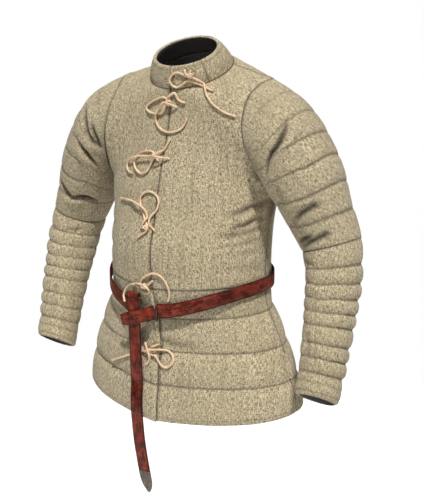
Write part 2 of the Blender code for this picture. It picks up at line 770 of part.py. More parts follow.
def make_sleeves(collection, cloth):
    upper_lines = [i / UPPER_SLEEVE_CHANNELS for i in range(1, UPPER_SLEEVE_CHANNELS)]

    def upper_inward(turn, w):
        own = sleeve_normal(upper_sleeve_point, turn, w)
        if w <= 0.0:
            return mitre(own, armscye_body_normal(turn))
        if w >= 1.0:
            return mitre(own, sleeve_normal(lower_sleeve_point, turn, 0.0))
        return own

    def lower_inward(turn, w):
        own = sleeve_normal(lower_sleeve_point, turn, w)
        if w <= 0.0:
            return mitre(own, sleeve_normal(upper_sleeve_point, turn, 1.0))
        return own

    stretches = (
        ("sleeve_upper", upper_sleeve_point, upper_lines, UPPER_SLEEVE_DIP, upper_inward, 6),
        ("sleeve_lower", lower_sleeve_point, lower_lines(), LOWER_SLEEVE_DIP, lower_inward, 5),
    )
    for name, surface, lines, dip, inward, inner_count in stretches:
        for side, ending in ((1, "_left"), (-1, "_right")):
            outer = sleeve_rings(surface, sleeve_shares(lines), dip, lines, None)
            inner_shares = [i / inner_count for i in range(inner_count + 1)]
            inner = sleeve_rings(surface, inner_shares, dip, lines, inward)
            bm = tube(outer, inner)
            if side < 0:
                mirrored(bm)
            add_mesh(name + ending, bm, collection, cloth)


# Collar

def collar_point(degrees, w):
    return neck_point(degrees).lerp(rim_point(degrees), w)


def collar_normal(degrees, w):
    step = 2.0
    around = collar_point(degrees + step, w) - collar_point(degrees - step, w)
    up = collar_point(degrees, 1.0) - collar_point(degrees, 0.0)
    normal = around.cross(up).normalized()
    if normal.dot(collar_point(degrees, w) - Vector((0.0, NECK_CENTRE_Y, 0.0))) < 0.0:
        normal = -normal
    return normal


def collar_degrees():
    half = ARMSCYE_ROWS // 2
    front = [neck_degrees(False, i / half) for i in range(half)]
    back = [neck_degrees(True, (half - i) / half) for i in range(half + 1)]
    left = front + back
    right = [180.0 - degrees for degrees in reversed(left[:-1])]
    return left + right


def make_collar(collection, cloth):
    outer, inner = [], []
    for i in range(COLLAR_ROWS + 1):
        w = i / COLLAR_ROWS
        bulge = COLLAR_BULGE * math.sin(math.pi * w)
        outer_line, inner_line = [], []
        for degrees in collar_degrees():
            normal = collar_normal(degrees, w)
            point = collar_point(degrees, w)
            outer_line.append(point + normal * bulge)
            inner_line.append(point - normal * COLLAR_WALL)
        for line in (outer_line, inner_line):
            line[0].x += OPENING_GAP
            line[-1].x -= OPENING_GAP
        if i == 0:
            # The foot of the collar stands a hair above the body's neckline.
            for line in (outer_line, inner_line):
                for point in line:
                    point.z += SEAM_GAP
        outer.append(outer_line)
        inner.append(inner_line)
    for point in inner[0]:
        point.z += COLLAR_FOOT_EASE
    add_mesh("collar", panel(outer, inner), collection, cloth)


# Belt

def tree_of(names):
    bm = bmesh.new()
    for name in names:
        bm.from_mesh(bpy.data.objects[name].data)
    tree = BVHTree.FromBMesh(bm)
    bm.free()
    return tree


FRONT_CLOTH = ("body_front_left", "body_front_right", "skirt_front_left", "skirt_front_right")
BACK_CLOTH = ("body_back", "skirt_back")


def reach_of_cloth(tree, direction, z):
    """How far the cloth reaches from the middle axis in a level direction."""
    middle = Vector((0.0, BELT_AXIS_Y, z))
    place = tree.ray_cast(middle + direction * OUTSIDE, -direction)[0]
    return (place - middle).length if place else 0.0


def belt_height(y):
    front = max(0.0, -y / BELT_FRONT_REACH)
    back = max(0.0, y / BELT_FRONT_REACH)
    return BELT_SIDE_Z - BELT_FRONT_DROP * front ** 2 + BELT_BACK_RISE * back


def belt_station(tree, angle):
    """The belt's inner middle point, its outward direction, at an angle from the front."""
    outward = Vector((math.sin(angle), -math.cos(angle), 0.0))
    z = belt_height(-BELT_FRONT_REACH * math.cos(angle))
    z -= BELT_RIGHT_SAG * max(0.0, -math.sin(angle)) * max(0.0, math.cos(angle)) * 2.0
    half = BELT_WIDTH / 2
    reach = 0.0
    for turn in (-BELT_SPREAD, 0.0, BELT_SPREAD):
        beside = Vector((math.sin(angle + turn), -math.cos(angle + turn), 0.0))
        for height in (-half, -half / 2, 0.0, half / 2, half):
            reach = max(reach, reach_of_cloth(tree, beside, z + height))
    return outward, reach + BELT_CLEARANCE, z


def strip(name, stations, collection, material):
    """A strap through stations of (inner edge low, inner edge high, outer low, outer high)."""
    bm = bmesh.new()
    rings = [[bm.verts.new(point) for point in station] for station in stations]
    for first, second in zip(rings, rings[1:]):
        for k in range(4):
            n = (k + 1) % 4
            bm.faces.new((first[k], first[n], second[n], second[k]))
    bm.faces.new(rings[0])
    bm.faces.new(list(reversed(rings[-1])))
    return add_mesh(name, bm, collection, material)


def strap_station(point, across, outward, width=BELT_WIDTH, thickness=BELT_THICKNESS):
    """The four corners of a strap whose inner face has its middle at the point."""
    half = across.normalized() * width / 2
    out = outward.normalized() * thickness
    return (point - half, point + half, point + half + out, point - half + out)


def make_belt_round(tree, collection, leather):
    start = math.asin(BELT_START_X / BELT_FRONT_REACH)
    end = 2.0 * math.pi - math.asin(BELT_END_X / BELT_FRONT_REACH)
    raw = []
    for i in range(BELT_STEPS + 1):
        angle = start + (end - start) * i / BELT_STEPS
        raw.append(belt_station(tree, angle))
    stations = []
    for i, (outward, reach, z) in enumerate(raw):
        low = max(i - 2, 0)
        high = min(i + 2, BELT_STEPS)
        smooth = sum(row[1] for row in raw[low:high + 1]) / (high - low + 1)
        reach = max(reach, smooth)
        point = Vector((0.0, BELT_AXIS_Y, z)) + outward * reach
        stations.append(strap_station(point, Vector((0.0, 0.0, 1.0)), outward))
    strip("belt_round", stations, collection, leather)


def front_y(tree, x, z, spread=0.0):
    """The foremost y at a place on the front, over a small height above and below it."""
    foremost = 1.0
    for height in (-spread, 0.0, spread):
        place = tree.ray_cast(Vector((x, -OUTSIDE, z + height)), Vector((0.0, 1.0, 0.0)))[0]
        if place:
            foremost = min(foremost, place.y)
    return foremost


def strap_x(z):
    """Where the middle of the hanging strap is at a height."""
    low, high = 0.0, 1.0
    for _ in range(24):
        middle = (low + high) / 2
        if spline(TAIL_LINE, middle)[0] > z:
            low = middle
        else:
            high = middle
    return spline(TAIL_LINE, (low + high) / 2)[1]


def make_belt_tail(collection, leather):
    """The end of the strap: a fold over the belt's upper edge and the length that hangs."""
    tree = tree_of(FRONT_CLOTH + ("belt_round",))
    level = Vector((1.0, 0.0, 0.0))
    half = BELT_WIDTH / 2
    fold_x, fold_z = TAIL_LINE[0][1], TAIL_LINE[0][0]
    behind = min(front_y(tree, fold_x + side, fold_z - FOLD_LEG, FOLD_LEG) for side in (-half, 0.0, half))
    top_y = behind - LAYER_GAP - 2.0 * FOLD_RADIUS
    axis_y = top_y + FOLD_RADIUS - BELT_THICKNESS
    # The fold: a half turn whose back leg stands just above the belt.
    back_leg = Vector((fold_x, axis_y + FOLD_RADIUS, fold_z - FOLD_LEG))
    stations = [strap_station(back_leg, level, Vector((0.0, 1.0, 0.0)))]
    for i in range(FOLD_STEPS):
        angle = math.radians(15.0 + 150.0 * i / (FOLD_STEPS - 1))
        out = Vector((0.0, math.cos(angle), math.sin(angle)))
        centre = Vector((fold_x, axis_y, fold_z - FOLD_RADIUS))
        inner = centre + out * (FOLD_RADIUS - BELT_THICKNESS + LAYER_GAP)
        stations.append(strap_station(inner, level, out))
    start_z = fold_z - 2.5 * FOLD_RADIUS
    lean = top_y
    for i in range(TAIL_STEPS + 1):
        z = start_z + (TAIL_END_Z - start_z) * i / TAIL_STEPS
        x = strap_x(z)
        cloth = min(front_y(tree, x + side, z, 0.006) for side in (-half, 0.0, half))
        hang = cloth - TAIL_CLEARANCE if cloth < 0.5 else lean
        lean = min(hang, lean + TAIL_FALL)
        stations.append(strap_station(Vector((x, lean, z)), level, Vector((0.0, -1.0, 0.0))))
    strip("belt_tail", stations, collection, leather)
    return lean


def make_belt_tip(strap_y, collection, leather):
    """The stiff end piece, which narrows to a point."""
    level = Vector((1.0, 0.0, 0.0))
    stations = []
    for share, width in TIP_WIDTHS:
        z = TAIL_END_Z - SEAM_GAP + (TIP_END_Z - TAIL_END_Z) * share
        point = Vector((strap_x(z), strap_y + (TIP_THICKNESS - BELT_THICKNESS) / 2, z))
        stations.append(strap_station(point, level, Vector((0.0, -1.0, 0.0)), width, TIP_THICKNESS))
    strip("belt_tip", stations, collection, leather)


def make_belt_band(collection, leather):
    """The front of the knot: from the ring over the hanging strap, then folded to the back."""
    tree = tree_of(FRONT_CLOTH + ("belt_round", "belt_tail"))
    front = []
    for i in range(BAND_STEPS + 1):
        x, z = spline(BAND_LINE, i / BAND_STEPS)
        y = min(front_y(tree, x + side, z, BELT_WIDTH / 2) for side in (-0.006, 0.0, 0.006))
        front.append((x, y - LAYER_GAP, z))
    # Past its first two stations the band stays nearly as far out as over the strap.
    furthest_back = min(row[1] for row in front) + BAND_SLACK
    stations = []
    for i, (x, y, z) in enumerate(front):
        towards = spline(BAND_LINE, (i + 0.6) / BAND_STEPS)
        away = spline(BAND_LINE, (i - 0.6) / BAND_STEPS)
        along = Vector((towards[0] - away[0], 0.0, towards[1] - away[1])).normalized()
        across = Vector((along.z, 0.0, -along.x))
        y = min(y, furthest_back) if i > 1 else y
        stations.append(strap_station(Vector((x, y, z)), across, Vector((0.0, -1.0, 0.0))))
    centre = Vector((x - 0.0035, y + 0.0014, z - 0.0005))
    for i in range(1, 5):
        angle = math.radians(-90.0 - 40.0 * i)
        out = Vector((math.cos(angle), math.sin(angle), 0.0))
        stations.append(strap_station(centre + out * 0.0014, Vector((0.0, 0.0, 1.0)), out))
    strip("belt_band", stations, collection, leather)


def rounded(value, power):
    """A sine or cosine made fuller, for the corners of a loop."""
    return math.copysign(abs(value) ** power, value)


def make_belt_ring(collection, iron):
    """A flat wire loop that both ends of the strap are drawn through."""
    belt = tree_of(("belt_round", "belt_band"))
    cloth = tree_of(FRONT_CLOTH)
    z = BAND_LINE[0][1]
    front = min(front_y(belt, RING_X + side, z, 0.010) for side in (-0.0035, 0.0035))
    back = front_y(cloth, RING_X, z, 0.016) - LAYER_GAP - RING_WIRE / 2
    front -= RING_WIRE / 4
    half = BELT_WIDTH / 2 + RING_ROOM
    points = []
    for i in range(RING_STEPS):
        angle = 2.0 * math.pi * i / RING_STEPS
        y = (front + back) / 2 + (front - back) / 2 * rounded(math.cos(angle), 0.6)
        points.append(Vector((RING_X, y, z + half * rounded(math.sin(angle), 0.8))))
    add_tube("belt_ring", points, RING_WIRE, collection, iron, closed=True)


# Laces

def add_tube(name, points, diameter, collection, material, closed=False):
    curve = bpy.data.curves.new(name, "CURVE")
    curve.dimensions = "3D"
    curve.bevel_depth = diameter / 2
    curve.bevel_resolution = 2
    curve.use_fill_caps = not closed
    line = curve.splines.new("POLY")
    line.points.add(len(points) - 1)
    for target, point in zip(line.points, points):
        target.co = (*point, 1.0)
    line.use_cyclic_u = closed
    curve.materials.append(material)
    collection.objects.link(bpy.data.objects.new(name, curve))


def smooth_route(points, step):
    """Points a step apart on the smooth curve through a route's own points."""
    fine = []
    count = 12 * (len(points) - 1)
    for i in range(count + 1):
        fine.append(Vector(spline(points, i / count)))
    lengths = [0.0]
    for first, second in zip(fine, fine[1:]):
        lengths.append(lengths[-1] + (second - first).length)
    pieces = max(2, round(lengths[-1] / step))
    route = []
    j = 0
    for i in range(pieces + 1):
        goal = lengths[-1] * i / pieces
        while j < len(fine) - 2 and lengths[j + 1] < goal:
            j += 1
        span = max(lengths[j + 1] - lengths[j], 1e-9)
        route.append(fine[j].lerp(fine[j + 1], min(1.0, (goal - lengths[j]) / span)))
    return route


def seat_on_front(tree, x, z, lift):
    """A point that stands off the front by the lift, square to the cloth.

    Over the opening it is the edge of the front beside it that counts.
    """
    if abs(x) < OPENING_GAP:
        x = math.copysign(OPENING_GAP, x)
    place, normal, _, _ = tree.ray_cast(Vector((x, -OUTSIDE, z)), Vector((0.0, 1.0, 0.0)))
    if normal.y > 0.0:
        normal = -normal
    return place + Vector((0.0, -1.0, 0.0)).lerp(normal, 0.5).normalized() * lift


def make_laces(collection, lace):
    tree = tree_of(FRONT_CLOTH + ("collar", "belt_round"))
    for name, route in LACES.items():
        seated = [tuple(seat_on_front(tree, x, z, lift)) for x, z, lift in route]
        add_tube(name, smooth_route(seated, LACE_STEP), LACE_DIAMETER, collection, lace)


def main():
    clear_scene()
    collection = bpy.data.collections.new("gambeson")
    bpy.context.scene.collection.children.link(collection)
    materials = make_materials()
    cloth = materials["cloth"]
    leather = materials["leather"]
    make_body(collection, cloth)
    make_back(collection, cloth)
    make_skirt(collection, cloth)
    make_sleeves(collection, cloth)
    make_collar(collection, cloth)
    make_belt_round(tree_of(FRONT_CLOTH + BACK_CLOTH), collection, leather)
    strap_y = make_belt_tail(collection, leather)
    make_belt_tip(strap_y, collection, leather)
    make_belt_band(collection, leather)
    make_belt_ring(collection, materials["iron"])
    make_laces(collection, materials["lace"])


main()
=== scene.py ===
# Looks of a quilted jacket with laces and a knotted belt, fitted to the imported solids.
# Metres, +Z up, the front towards -Y and the wearer's left towards +X.
import math

import bmesh
import bpy
import numpy as np
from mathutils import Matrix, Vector
from mathutils.bvhtree import BVHTree


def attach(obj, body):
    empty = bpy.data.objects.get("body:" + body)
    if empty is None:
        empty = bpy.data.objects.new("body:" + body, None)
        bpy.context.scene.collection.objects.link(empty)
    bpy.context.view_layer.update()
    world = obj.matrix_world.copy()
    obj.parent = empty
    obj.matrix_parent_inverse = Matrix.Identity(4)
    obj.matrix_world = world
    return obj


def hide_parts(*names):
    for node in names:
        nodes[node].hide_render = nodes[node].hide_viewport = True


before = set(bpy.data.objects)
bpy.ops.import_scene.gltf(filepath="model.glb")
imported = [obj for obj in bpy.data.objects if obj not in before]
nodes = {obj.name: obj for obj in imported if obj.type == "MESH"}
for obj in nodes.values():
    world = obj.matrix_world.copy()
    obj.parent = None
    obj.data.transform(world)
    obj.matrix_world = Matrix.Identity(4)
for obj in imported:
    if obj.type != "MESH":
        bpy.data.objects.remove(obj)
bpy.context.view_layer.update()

# Camera, first because the laces are judged by it

view = {"azimuth": 33.0, "elevation": 13.0, "distance": 1.94, "lens": 70.0, "target": (0.0285, 0.0185, -0.37)}


def makeCamera():
    az = math.radians(view["azimuth"])
    el = math.radians(view["elevation"])
    target = Vector(view["target"])
    out = Vector((math.sin(az) * math.cos(el), -math.cos(az) * math.cos(el), math.sin(el)))
    data = bpy.data.cameras.new("camera")
    data.lens = view["lens"]
    data.sensor_width = 36.0
    camera = bpy.data.objects.new("camera", data)
    camera.location = target + out * view["distance"]
    camera.rotation_euler = (-out).to_track_quat("-Z", "Y").to_euler()
    bpy.context.scene.collection.objects.link(camera)
    bpy.context.scene.camera = camera


makeCamera()
bpy.context.scene.view_settings.view_transform = "Standard"
print("camera set")

# Small tools for nodes and colours


def newMaterial(name, roughness=0.9):
    material = bpy.data.materials.new(name)
    material.use_nodes = True
    tree = material.node_tree
    shader = tree.nodes["Principled BSDF"]
    shader.inputs["Roughness"].default_value = roughness
    return material, tree, shader


def plug(tree, socket, value):
    if isinstance(value, bpy.types.NodeSocket):
        tree.links.new(value, socket)
    elif value is not None:
        socket.default_value = value


def maths(tree, operation, a, b=None, clamp=False):
    made = tree.nodes.new("ShaderNodeMath")
    made.operation = operation
    made.use_clamp = clamp
    plug(tree, made.inputs[0], a)
    plug(tree, made.inputs[1], b)
    return made.outputs[0]


def scaled(tree, vector, scale):
    made = tree.nodes.new("ShaderNodeVectorMath")
    made.operation = "MULTIPLY"
    plug(tree, made.inputs[0], vector)
    made.inputs[1].default_value = scale
    return made.outputs[0]


def noiseOf(tree, vector, scale, detail=2.0, rough=0.5):
    made = tree.nodes.new("ShaderNodeTexNoise")
    plug(tree, made.inputs["Vector"], vector)
    made.inputs["Scale"].default_value = scale
    made.inputs["Detail"].default_value = detail
    made.inputs["Roughness"].default_value = rough
    return made.outputs["Fac"]


def mixed(tree, factor, a, b, blend="MIX"):
    made = tree.nodes.new("ShaderNodeMix")
    made.data_type = "RGBA"
    made.blend_type = blend
    plug(tree, made.inputs["Factor"], factor)
    plug(tree, made.inputs["A"], a)
    plug(tree, made.inputs["B"], b)
    return made.outputs["Result"]


def spread(tree, value, low, high, toLow=0.0, toHigh=1.0):
    made = tree.nodes.new("ShaderNodeMapRange")
    plug(tree, made.inputs["Value"], value)
    made.inputs["From Min"].default_value = low
    made.inputs["From Max"].default_value = high
    made.inputs["To Min"].default_value = toLow
    made.inputs["To Max"].default_value = toHigh
    return made.outputs["Result"]


def bumped(tree, shader, height, strength, distance):
    made = tree.nodes.new("ShaderNodeBump")
    made.inputs["Strength"].default_value = strength
    made.inputs["Distance"].default_value = distance
    plug(tree, made.inputs["Height"], height)
    tree.links.new(made.outputs["Normal"], shader.inputs["Normal"])


def uvOf(tree):
    return tree.nodes.new("ShaderNodeUVMap").outputs["UV"]


def placeOf(tree):
    return tree.nodes.new("ShaderNodeTexCoord").outputs["Object"]


def markOf(tree, name):
    made = tree.nodes.new("ShaderNodeAttribute")
    made.attribute_name = name
    return made.outputs["Fac"]


# Quilted linen: slubby threads both ways, flecks, dirt in the sewn valleys, and painted shade in deep folds, under the
# arms and along the front opening

linen = {
    "light": (0.82, 0.695, 0.462, 1.0),
    "dark": (0.085, 0.062, 0.030, 1.0),
    "pale": (0.74, 0.645, 0.455, 1.0),
    "olive": (0.42, 0.36, 0.205, 1.0),
    "rosy": (0.50, 0.375, 0.265, 1.0),
    "deep": (0.045, 0.035, 0.020, 1.0),
    "thread": 0.0015,       # metres across one slub
    "slubLength": 0.0072,
    "sheen": 0.10,
}


def makeLinen():
    material, tree, shader = newMaterial("quiltedLinen", 0.93)
    uv = uvOf(tree)
    across, slub = 1.0 / linen["thread"], 1.0 / linen["slubLength"]
    warp = noiseOf(tree, scaled(tree, uv, (across, slub, 1.0)), 1.0, 2.0, 0.55)
    weft = noiseOf(tree, scaled(tree, uv, (slub * 1.25, across * 0.95, 1.0)), 1.0, 2.0, 0.55)
    fleck = noiseOf(tree, scaled(tree, uv, (across * 1.3, across * 1.1, 1.0)), 1.0, 1.0, 0.5)
    patch = noiseOf(tree, placeOf(tree), 6.0, 4.0, 0.6)
    tint = noiseOf(tree, scaled(tree, uv, (60.0, 16.0, 1.0)), 1.0, 3.0, 0.6)
    threads = maths(tree, "ADD", maths(tree, "MULTIPLY", warp, 0.95), maths(tree, "MULTIPLY", weft, 0.80))
    tone = maths(tree, "ADD", threads, maths(tree, "MULTIPLY", fleck, 0.15))
    colour = mixed(tree, spread(tree, tone, 0.75, 1.13), linen["dark"], linen["light"])
    stray = noiseOf(tree, scaled(tree, uv, (430.0, 26.0, 1.0)), 1.0, 2.0, 0.5)
    colour = mixed(tree, spread(tree, stray, 0.58, 0.72, 0.0, 0.65), colour, linen["pale"])
    shade = noiseOf(tree, scaled(tree, uv, (260.0, 24.0, 1.0)), 1.0, 2.0, 0.5)
    colour = mixed(tree, spread(tree, shade, 0.58, 0.78, 0.0, 0.35), colour, linen["dark"])
    colour = mixed(tree, spread(tree, patch, 0.35, 0.7, 0.0, 0.34), colour, linen["olive"])
    colour = mixed(tree, spread(tree, tint, 0.5, 0.72, 0.0, 0.26), colour, linen["rosy"])
    ladder = noiseOf(tree, scaled(tree, uv, (170.0, 8.0, 1.0)), 1.0, 2.0, 0.6)       # long faint bars of the warp
    colour = mixed(tree, spread(tree, ladder, 0.50, 0.72, 0.0, 0.30), colour, linen["dark"])
    # the valley mark darkens towards the deep colour: dark sewn seams, plus painted shade in deep folds, under the
    # arms, in the front gap and beside the overlapping front
    valley = maths(tree, "MULTIPLY", markOf(tree, "valley"), 0.84, True)
    colour = mixed(tree, valley, colour, linen["deep"])
    tree.links.new(colour, shader.inputs["Base Color"])
    shader.inputs["Sheen Weight"].default_value = linen["sheen"]
    shader.inputs["Sheen Roughness"].default_value = 0.6
    bumped(tree, shader, tone, 0.8, 0.0018)
    return material


def separate(tree, vector, axis):
    made = tree.nodes.new("ShaderNodeSeparateXYZ")
    tree.links.new(vector, made.inputs[0])
    return made.outputs[axis]


def makeLining():
    material, tree, shader = newMaterial("darkLining", 0.95)
    uv = uvOf(tree)
    grain = noiseOf(tree, scaled(tree, uv, (620.0, 620.0, 1.0)), 1.0, 3.0, 0.6)
    colour = mixed(tree, spread(tree, grain, 0.3, 0.7), (0.020, 0.019, 0.018, 1.0), (0.150, 0.142, 0.138, 1.0))
    tree.links.new(colour, shader.inputs["Base Color"])
    bumped(tree, shader, grain, 0.5, 0.0008)
    return material


def makeThread():
    material, tree, shader = newMaterial("sewingThread", 0.8)
    grain = noiseOf(tree, placeOf(tree), 900.0, 2.0)
    colour = mixed(tree, grain, (0.30, 0.25, 0.16, 1.0), (0.50, 0.43, 0.30, 1.0))
    tree.links.new(colour, shader.inputs["Base Color"])
    return material


hide = {"width": 0.028, "dark": (0.056, 0.005, 0.0025, 1.0), "red": (0.255, 0.034, 0.017, 1.0),
        "rubbed": (0.40, 0.118, 0.062, 1.0), "oily": (0.034, 0.005, 0.003, 1.0), "edge": (0.016, 0.004, 0.003, 1.0)}


def makeLeather():
    material, tree, shader = newMaterial("oiledLeather", 0.5)
    place = placeOf(tree)
    uv = uvOf(tree)
    grain = noiseOf(tree, place, 620.0, 4.0, 0.65)
    blotch = noiseOf(tree, place, 70.0, 4.0, 0.66)
    patch = noiseOf(tree, place, 17.0, 2.0, 0.5)
    streak = noiseOf(tree, scaled(tree, uv, (34.0, 420.0, 1.0)), 1.0, 3.0, 0.6)
    colour = mixed(tree, spread(tree, blotch, 0.40, 0.62), hide["dark"], hide["red"])
    colour = mixed(tree, spread(tree, streak, 0.5, 0.72, 0.0, 0.55), colour, hide["rubbed"])
    colour = mixed(tree, spread(tree, patch, 0.48, 0.68, 0.0, 0.60), colour, hide["oily"])
    aside = maths(tree, "ABSOLUTE", separate(tree, uv, "Y"))
    edge = spread(tree, aside, hide["width"] * 0.37, hide["width"] * 0.48)
    darkening = maths(tree, "MULTIPLY", edge, spread(tree, grain, 0.25, 0.50), True)
    colour = mixed(tree, maths(tree, "MULTIPLY", darkening, 0.88), colour, hide["edge"])
    tree.links.new(colour, shader.inputs["Base Color"])
    rough = spread(tree, blotch, 0.3, 0.7, 0.26, 0.50)
    tree.links.new(rough, shader.inputs["Roughness"])
    shader.inputs["Specular IOR Level"].default_value = 0.22
    height = maths(tree, "ADD", maths(tree, "MULTIPLY", grain, 0.5), streak)
    bumped(tree, shader, height, 0.5, 0.0012)
    return material


def makeHoleShade():
    material, tree, shader = newMaterial("paintedHoleShade", 0.8)
    grain = noiseOf(tree, placeOf(tree), 900.0, 2.0)
    tree.links.new(mixed(tree, grain, (0.010, 0.003, 0.002, 1.0), (0.030, 0.010, 0.007, 1.0)), shader.inputs["Base Color"])
    return material


def makeTipMaterial():
    material, tree, shader = newMaterial("strapEnd", 0.5)
    grain = noiseOf(tree, placeOf(tree), 160.0, 4.0, 0.6)
    colour = mixed(tree, spread(tree, grain, 0.35, 0.7), (0.075, 0.060, 0.048, 1.0), (0.20, 0.165, 0.13, 1.0))
    tree.links.new(colour, shader.inputs["Base Color"])
    bumped(tree, shader, grain, 0.4, 0.0008)
    return material


def makeLace():
    material, tree, shader = newMaterial("rawhideLace", 0.62)
    place = placeOf(tree)
    grain = noiseOf(tree, place, 700.0, 3.0, 0.6)
    blotch = noiseOf(tree, place, 60.0, 3.0, 0.6)
    colour = mixed(tree, spread(tree, blotch, 0.3, 0.7), (0.66, 0.44, 0.26, 1.0), (0.90, 0.73, 0.52, 1.0))
    colour = mixed(tree, spread(tree, grain, 0.55, 0.8, 0.0, 0.4), colour, (0.42, 0.22, 0.12, 1.0))
    tree.links.new(colour, shader.inputs["Base Color"])
    bumped(tree, shader, grain, 0.3, 0.0006)
    return material


def makeIron():
    material, tree, shader = newMaterial("forgedIron", 0.45)
    grain = noiseOf(tree, placeOf(tree), 300.0, 3.0, 0.6)
    colour = mixed(tree, grain, (0.05, 0.045, 0.04, 1.0), (0.17, 0.155, 0.14, 1.0))
    tree.links.new(colour, shader.inputs["Base Color"])
    shader.inputs["Metallic"].default_value = 1.0
    bumped(tree, shader, grain, 0.3, 0.0004)
    return material


linenCloth = makeLinen()
liningCloth = makeLining()
sewingThread = makeThread()
leather = makeLeather()
holeShade = makeHoleShade()
strapEnd = makeTipMaterial()
laceLeather = makeLace()
ringIron = makeIron()
print("materials made")

# The jacket's own curves, the same as the solids are made from

jacket = {
    "wall": 0.0100,
    "seamGap": 0.0003,
    "openingGap": 0.0012,
    "underarm": 5.0 / 17.0,      # share of a body piece's height below the underarm
    "ventTop": 0.55,
    "ventWidth": 0.006,
    "overlapLift": 0.0052, "overlap": 0.0065,
}
neck = {
    "halfWidth": 0.083, "halfDepth": 0.071, "centreY": -0.008, "frontZ": -0.0486, "lean": 0.48,
    "shoulderAngle": 20.0, "rimHalfWidth": 0.066, "rimHalfDepth": 0.053, "rimCentreY": -0.027,
    "rimFrontZ": -0.006, "rimLean": 0.52, "wall": 0.0075,
}
centreFront = (
    (-0.147, -0.4175), (-0.152, -0.345), (-0.138, -0.290), (-0.120, -0.215),
    (-0.104, -0.165), (-0.090, -0.120), (-0.082, -0.080), (-0.079, -0.0486),
)
centreBack = (
    (0.105, -0.395), (0.110, -0.340), (0.118, -0.280), (0.126, -0.215),
    (0.130, -0.165), (0.124, -0.110), (0.104, -0.045), (0.063, 0.0196),
)
sideSeam = (
    (0.1700, -0.012, -0.403), (0.1705, -0.010, -0.350), (0.1740, -0.006, -0.292), (0.1840, 0.000, -0.238),
)
armscyeFront = (
    (0.184, 0.000, -0.238), (0.177, -0.040, -0.213), (0.165, -0.070, -0.168), (0.156, -0.081, -0.125),
    (0.152, -0.070, -0.085), (0.152, -0.046, -0.054), (0.160, -0.018, -0.035), (0.168, 0.008, -0.027),
)
armscyeBack = (
    (0.184, 0.000, -0.238), (0.180, 0.042, -0.210), (0.172, 0.072, -0.164), (0.166, 0.084, -0.120),
    (0.163, 0.074, -0.080), (0.163, 0.050, -0.048), (0.165, 0.028, -0.032), (0.168, 0.008, -0.027),
)
skirtFrontCentre = (
    (-0.147, -0.4175), (-0.1365, -0.465), (-0.1300, -0.515), (-0.1380, -0.567), (-0.1440, -0.622), (-0.1500, -0.683),
)
skirtBackCentre = (
    (0.105, -0.395), (0.103, -0.445), (0.116, -0.500), (0.134, -0.555), (0.148, -0.610), (0.158, -0.668),
)
skirtSide = (
    (0.1700, -0.012, -0.403), (0.1750, -0.014, -0.448), (0.2000, -0.015, -0.500),
    (0.2210, -0.015, -0.552), (0.2370, -0.014, -0.604), (0.2470, -0.012, -0.656),
)
# rings of a sleeve: centre x, y, z, half axis out x, z, half depth, its rise
upperRings = (
    (0.2025, 0.000, -0.1490, 0.0110, 0.0960, 0.090, 0.000),
    (0.2240, 0.000, -0.1705, 0.0265, 0.0850, 0.087, 0.000),
    (0.2440, 0.000, -0.1990, 0.0390, 0.0690, 0.080, 0.000),
    (0.2620, 0.000, -0.2330, 0.0490, 0.0510, 0.072, 0.000),
    (0.2780, 0.002, -0.2740, 0.0515, 0.0330, 0.064, 0.000),
    (0.2985, 0.005, -0.3220, 0.0530, 0.0170, 0.057, 0.000),
)
lowerRings = (
    (0.2985, 0.005, -0.3220, 0.0530, 0.0170, 0.057, 0.000),
    (0.3095, -0.005, -0.3720, 0.0525, 0.0080, 0.055, 0.008),
    (0.3140, -0.024, -0.4380, 0.0490, 0.0020, 0.050, 0.013),
    (0.3150, -0.042, -0.4960, 0.0455, 0.0000, 0.046, 0.016),
    (0.3145, -0.057, -0.5490, 0.0420, 0.0000, 0.042, 0.019),
    (0.3130, -0.071, -0.5970, 0.0405, 0.0000, 0.040, 0.022),
)


def along(rows, share):
    # smooth curve through the rows, at each share from 0 to 1
    rows = np.asarray(rows, float)
    share = np.atleast_1d(np.asarray(share, float))
    last = len(rows) - 1
    place = np.clip(share, 0.0, 1.0) * last
    index = np.minimum(place.astype(int), last - 1)
    t = (place - index).reshape((-1,) + (1,) * (rows.ndim - 1))
    before, start = rows[np.maximum(index - 1, 0)], rows[index]
    end, after = rows[index + 1], rows[np.minimum(index + 2, last)]
    slopeIn, slopeOut = (end - before) / 2, (after - start) / 2
    return (start * (2 * t ** 3 - 3 * t ** 2 + 1) + slopeIn * (t ** 3 - 2 * t ** 2 + t)
            + end * (3 * t ** 2 - 2 * t ** 3) + slopeOut * (t ** 3 - t ** 2))


def midPlane(rows):
    return np.stack([np.zeros(len(rows)), rows[:, 0], rows[:, 1]], -1)


def arcGrid(centre, side, roundness, u):
    # rows of points from a centre line to a side line; roundness 1 is a quarter oval
    third, full = 1.0 / 3.0, 0.5523
    near = (third + roundness * (full - third))[:, None]
    flat = (third * (1.0 - roundness))[:, None]
    reach = side - centre
    first = centre + np.concatenate([near * reach[:, :1], flat * reach[:, 1:2], third * reach[:, 2:]], 1)
    second = side - np.concatenate([flat * reach[:, :1], near * reach[:, 1:2], third * reach[:, 2:]], 1)
    t = np.asarray(u)[None, :, None]
    w = 1.0 - t
    return (w ** 3 * centre[:, None] + 3 * w * w * t * first[:, None]
            + 3 * w * t * t * second[:, None] + t ** 3 * side[:, None])


def ovalLine(degrees, halfWidth, halfDepth, centreY, frontZ, lean):
    angle = np.radians(degrees)
    y = centreY + halfDepth * np.sin(angle)
    return np.stack([halfWidth * np.cos(angle), y, frontZ + lean * (y - centreY + halfDepth)], -1)


def neckLine(degrees):
    return ovalLine(degrees, neck["halfWidth"], neck["halfDepth"], neck["centreY"], neck["frontZ"], neck["lean"])


def rimLine(degrees):
    return ovalLine(degrees, neck["rimHalfWidth"], neck["rimHalfDepth"], neck["rimCentreY"],
                    neck["rimFrontZ"], neck["rimLean"])


def neckDegrees(back, share):
    start = 90.0 if back else -90.0
    return start + share * (neck["shoulderAngle"] - start)


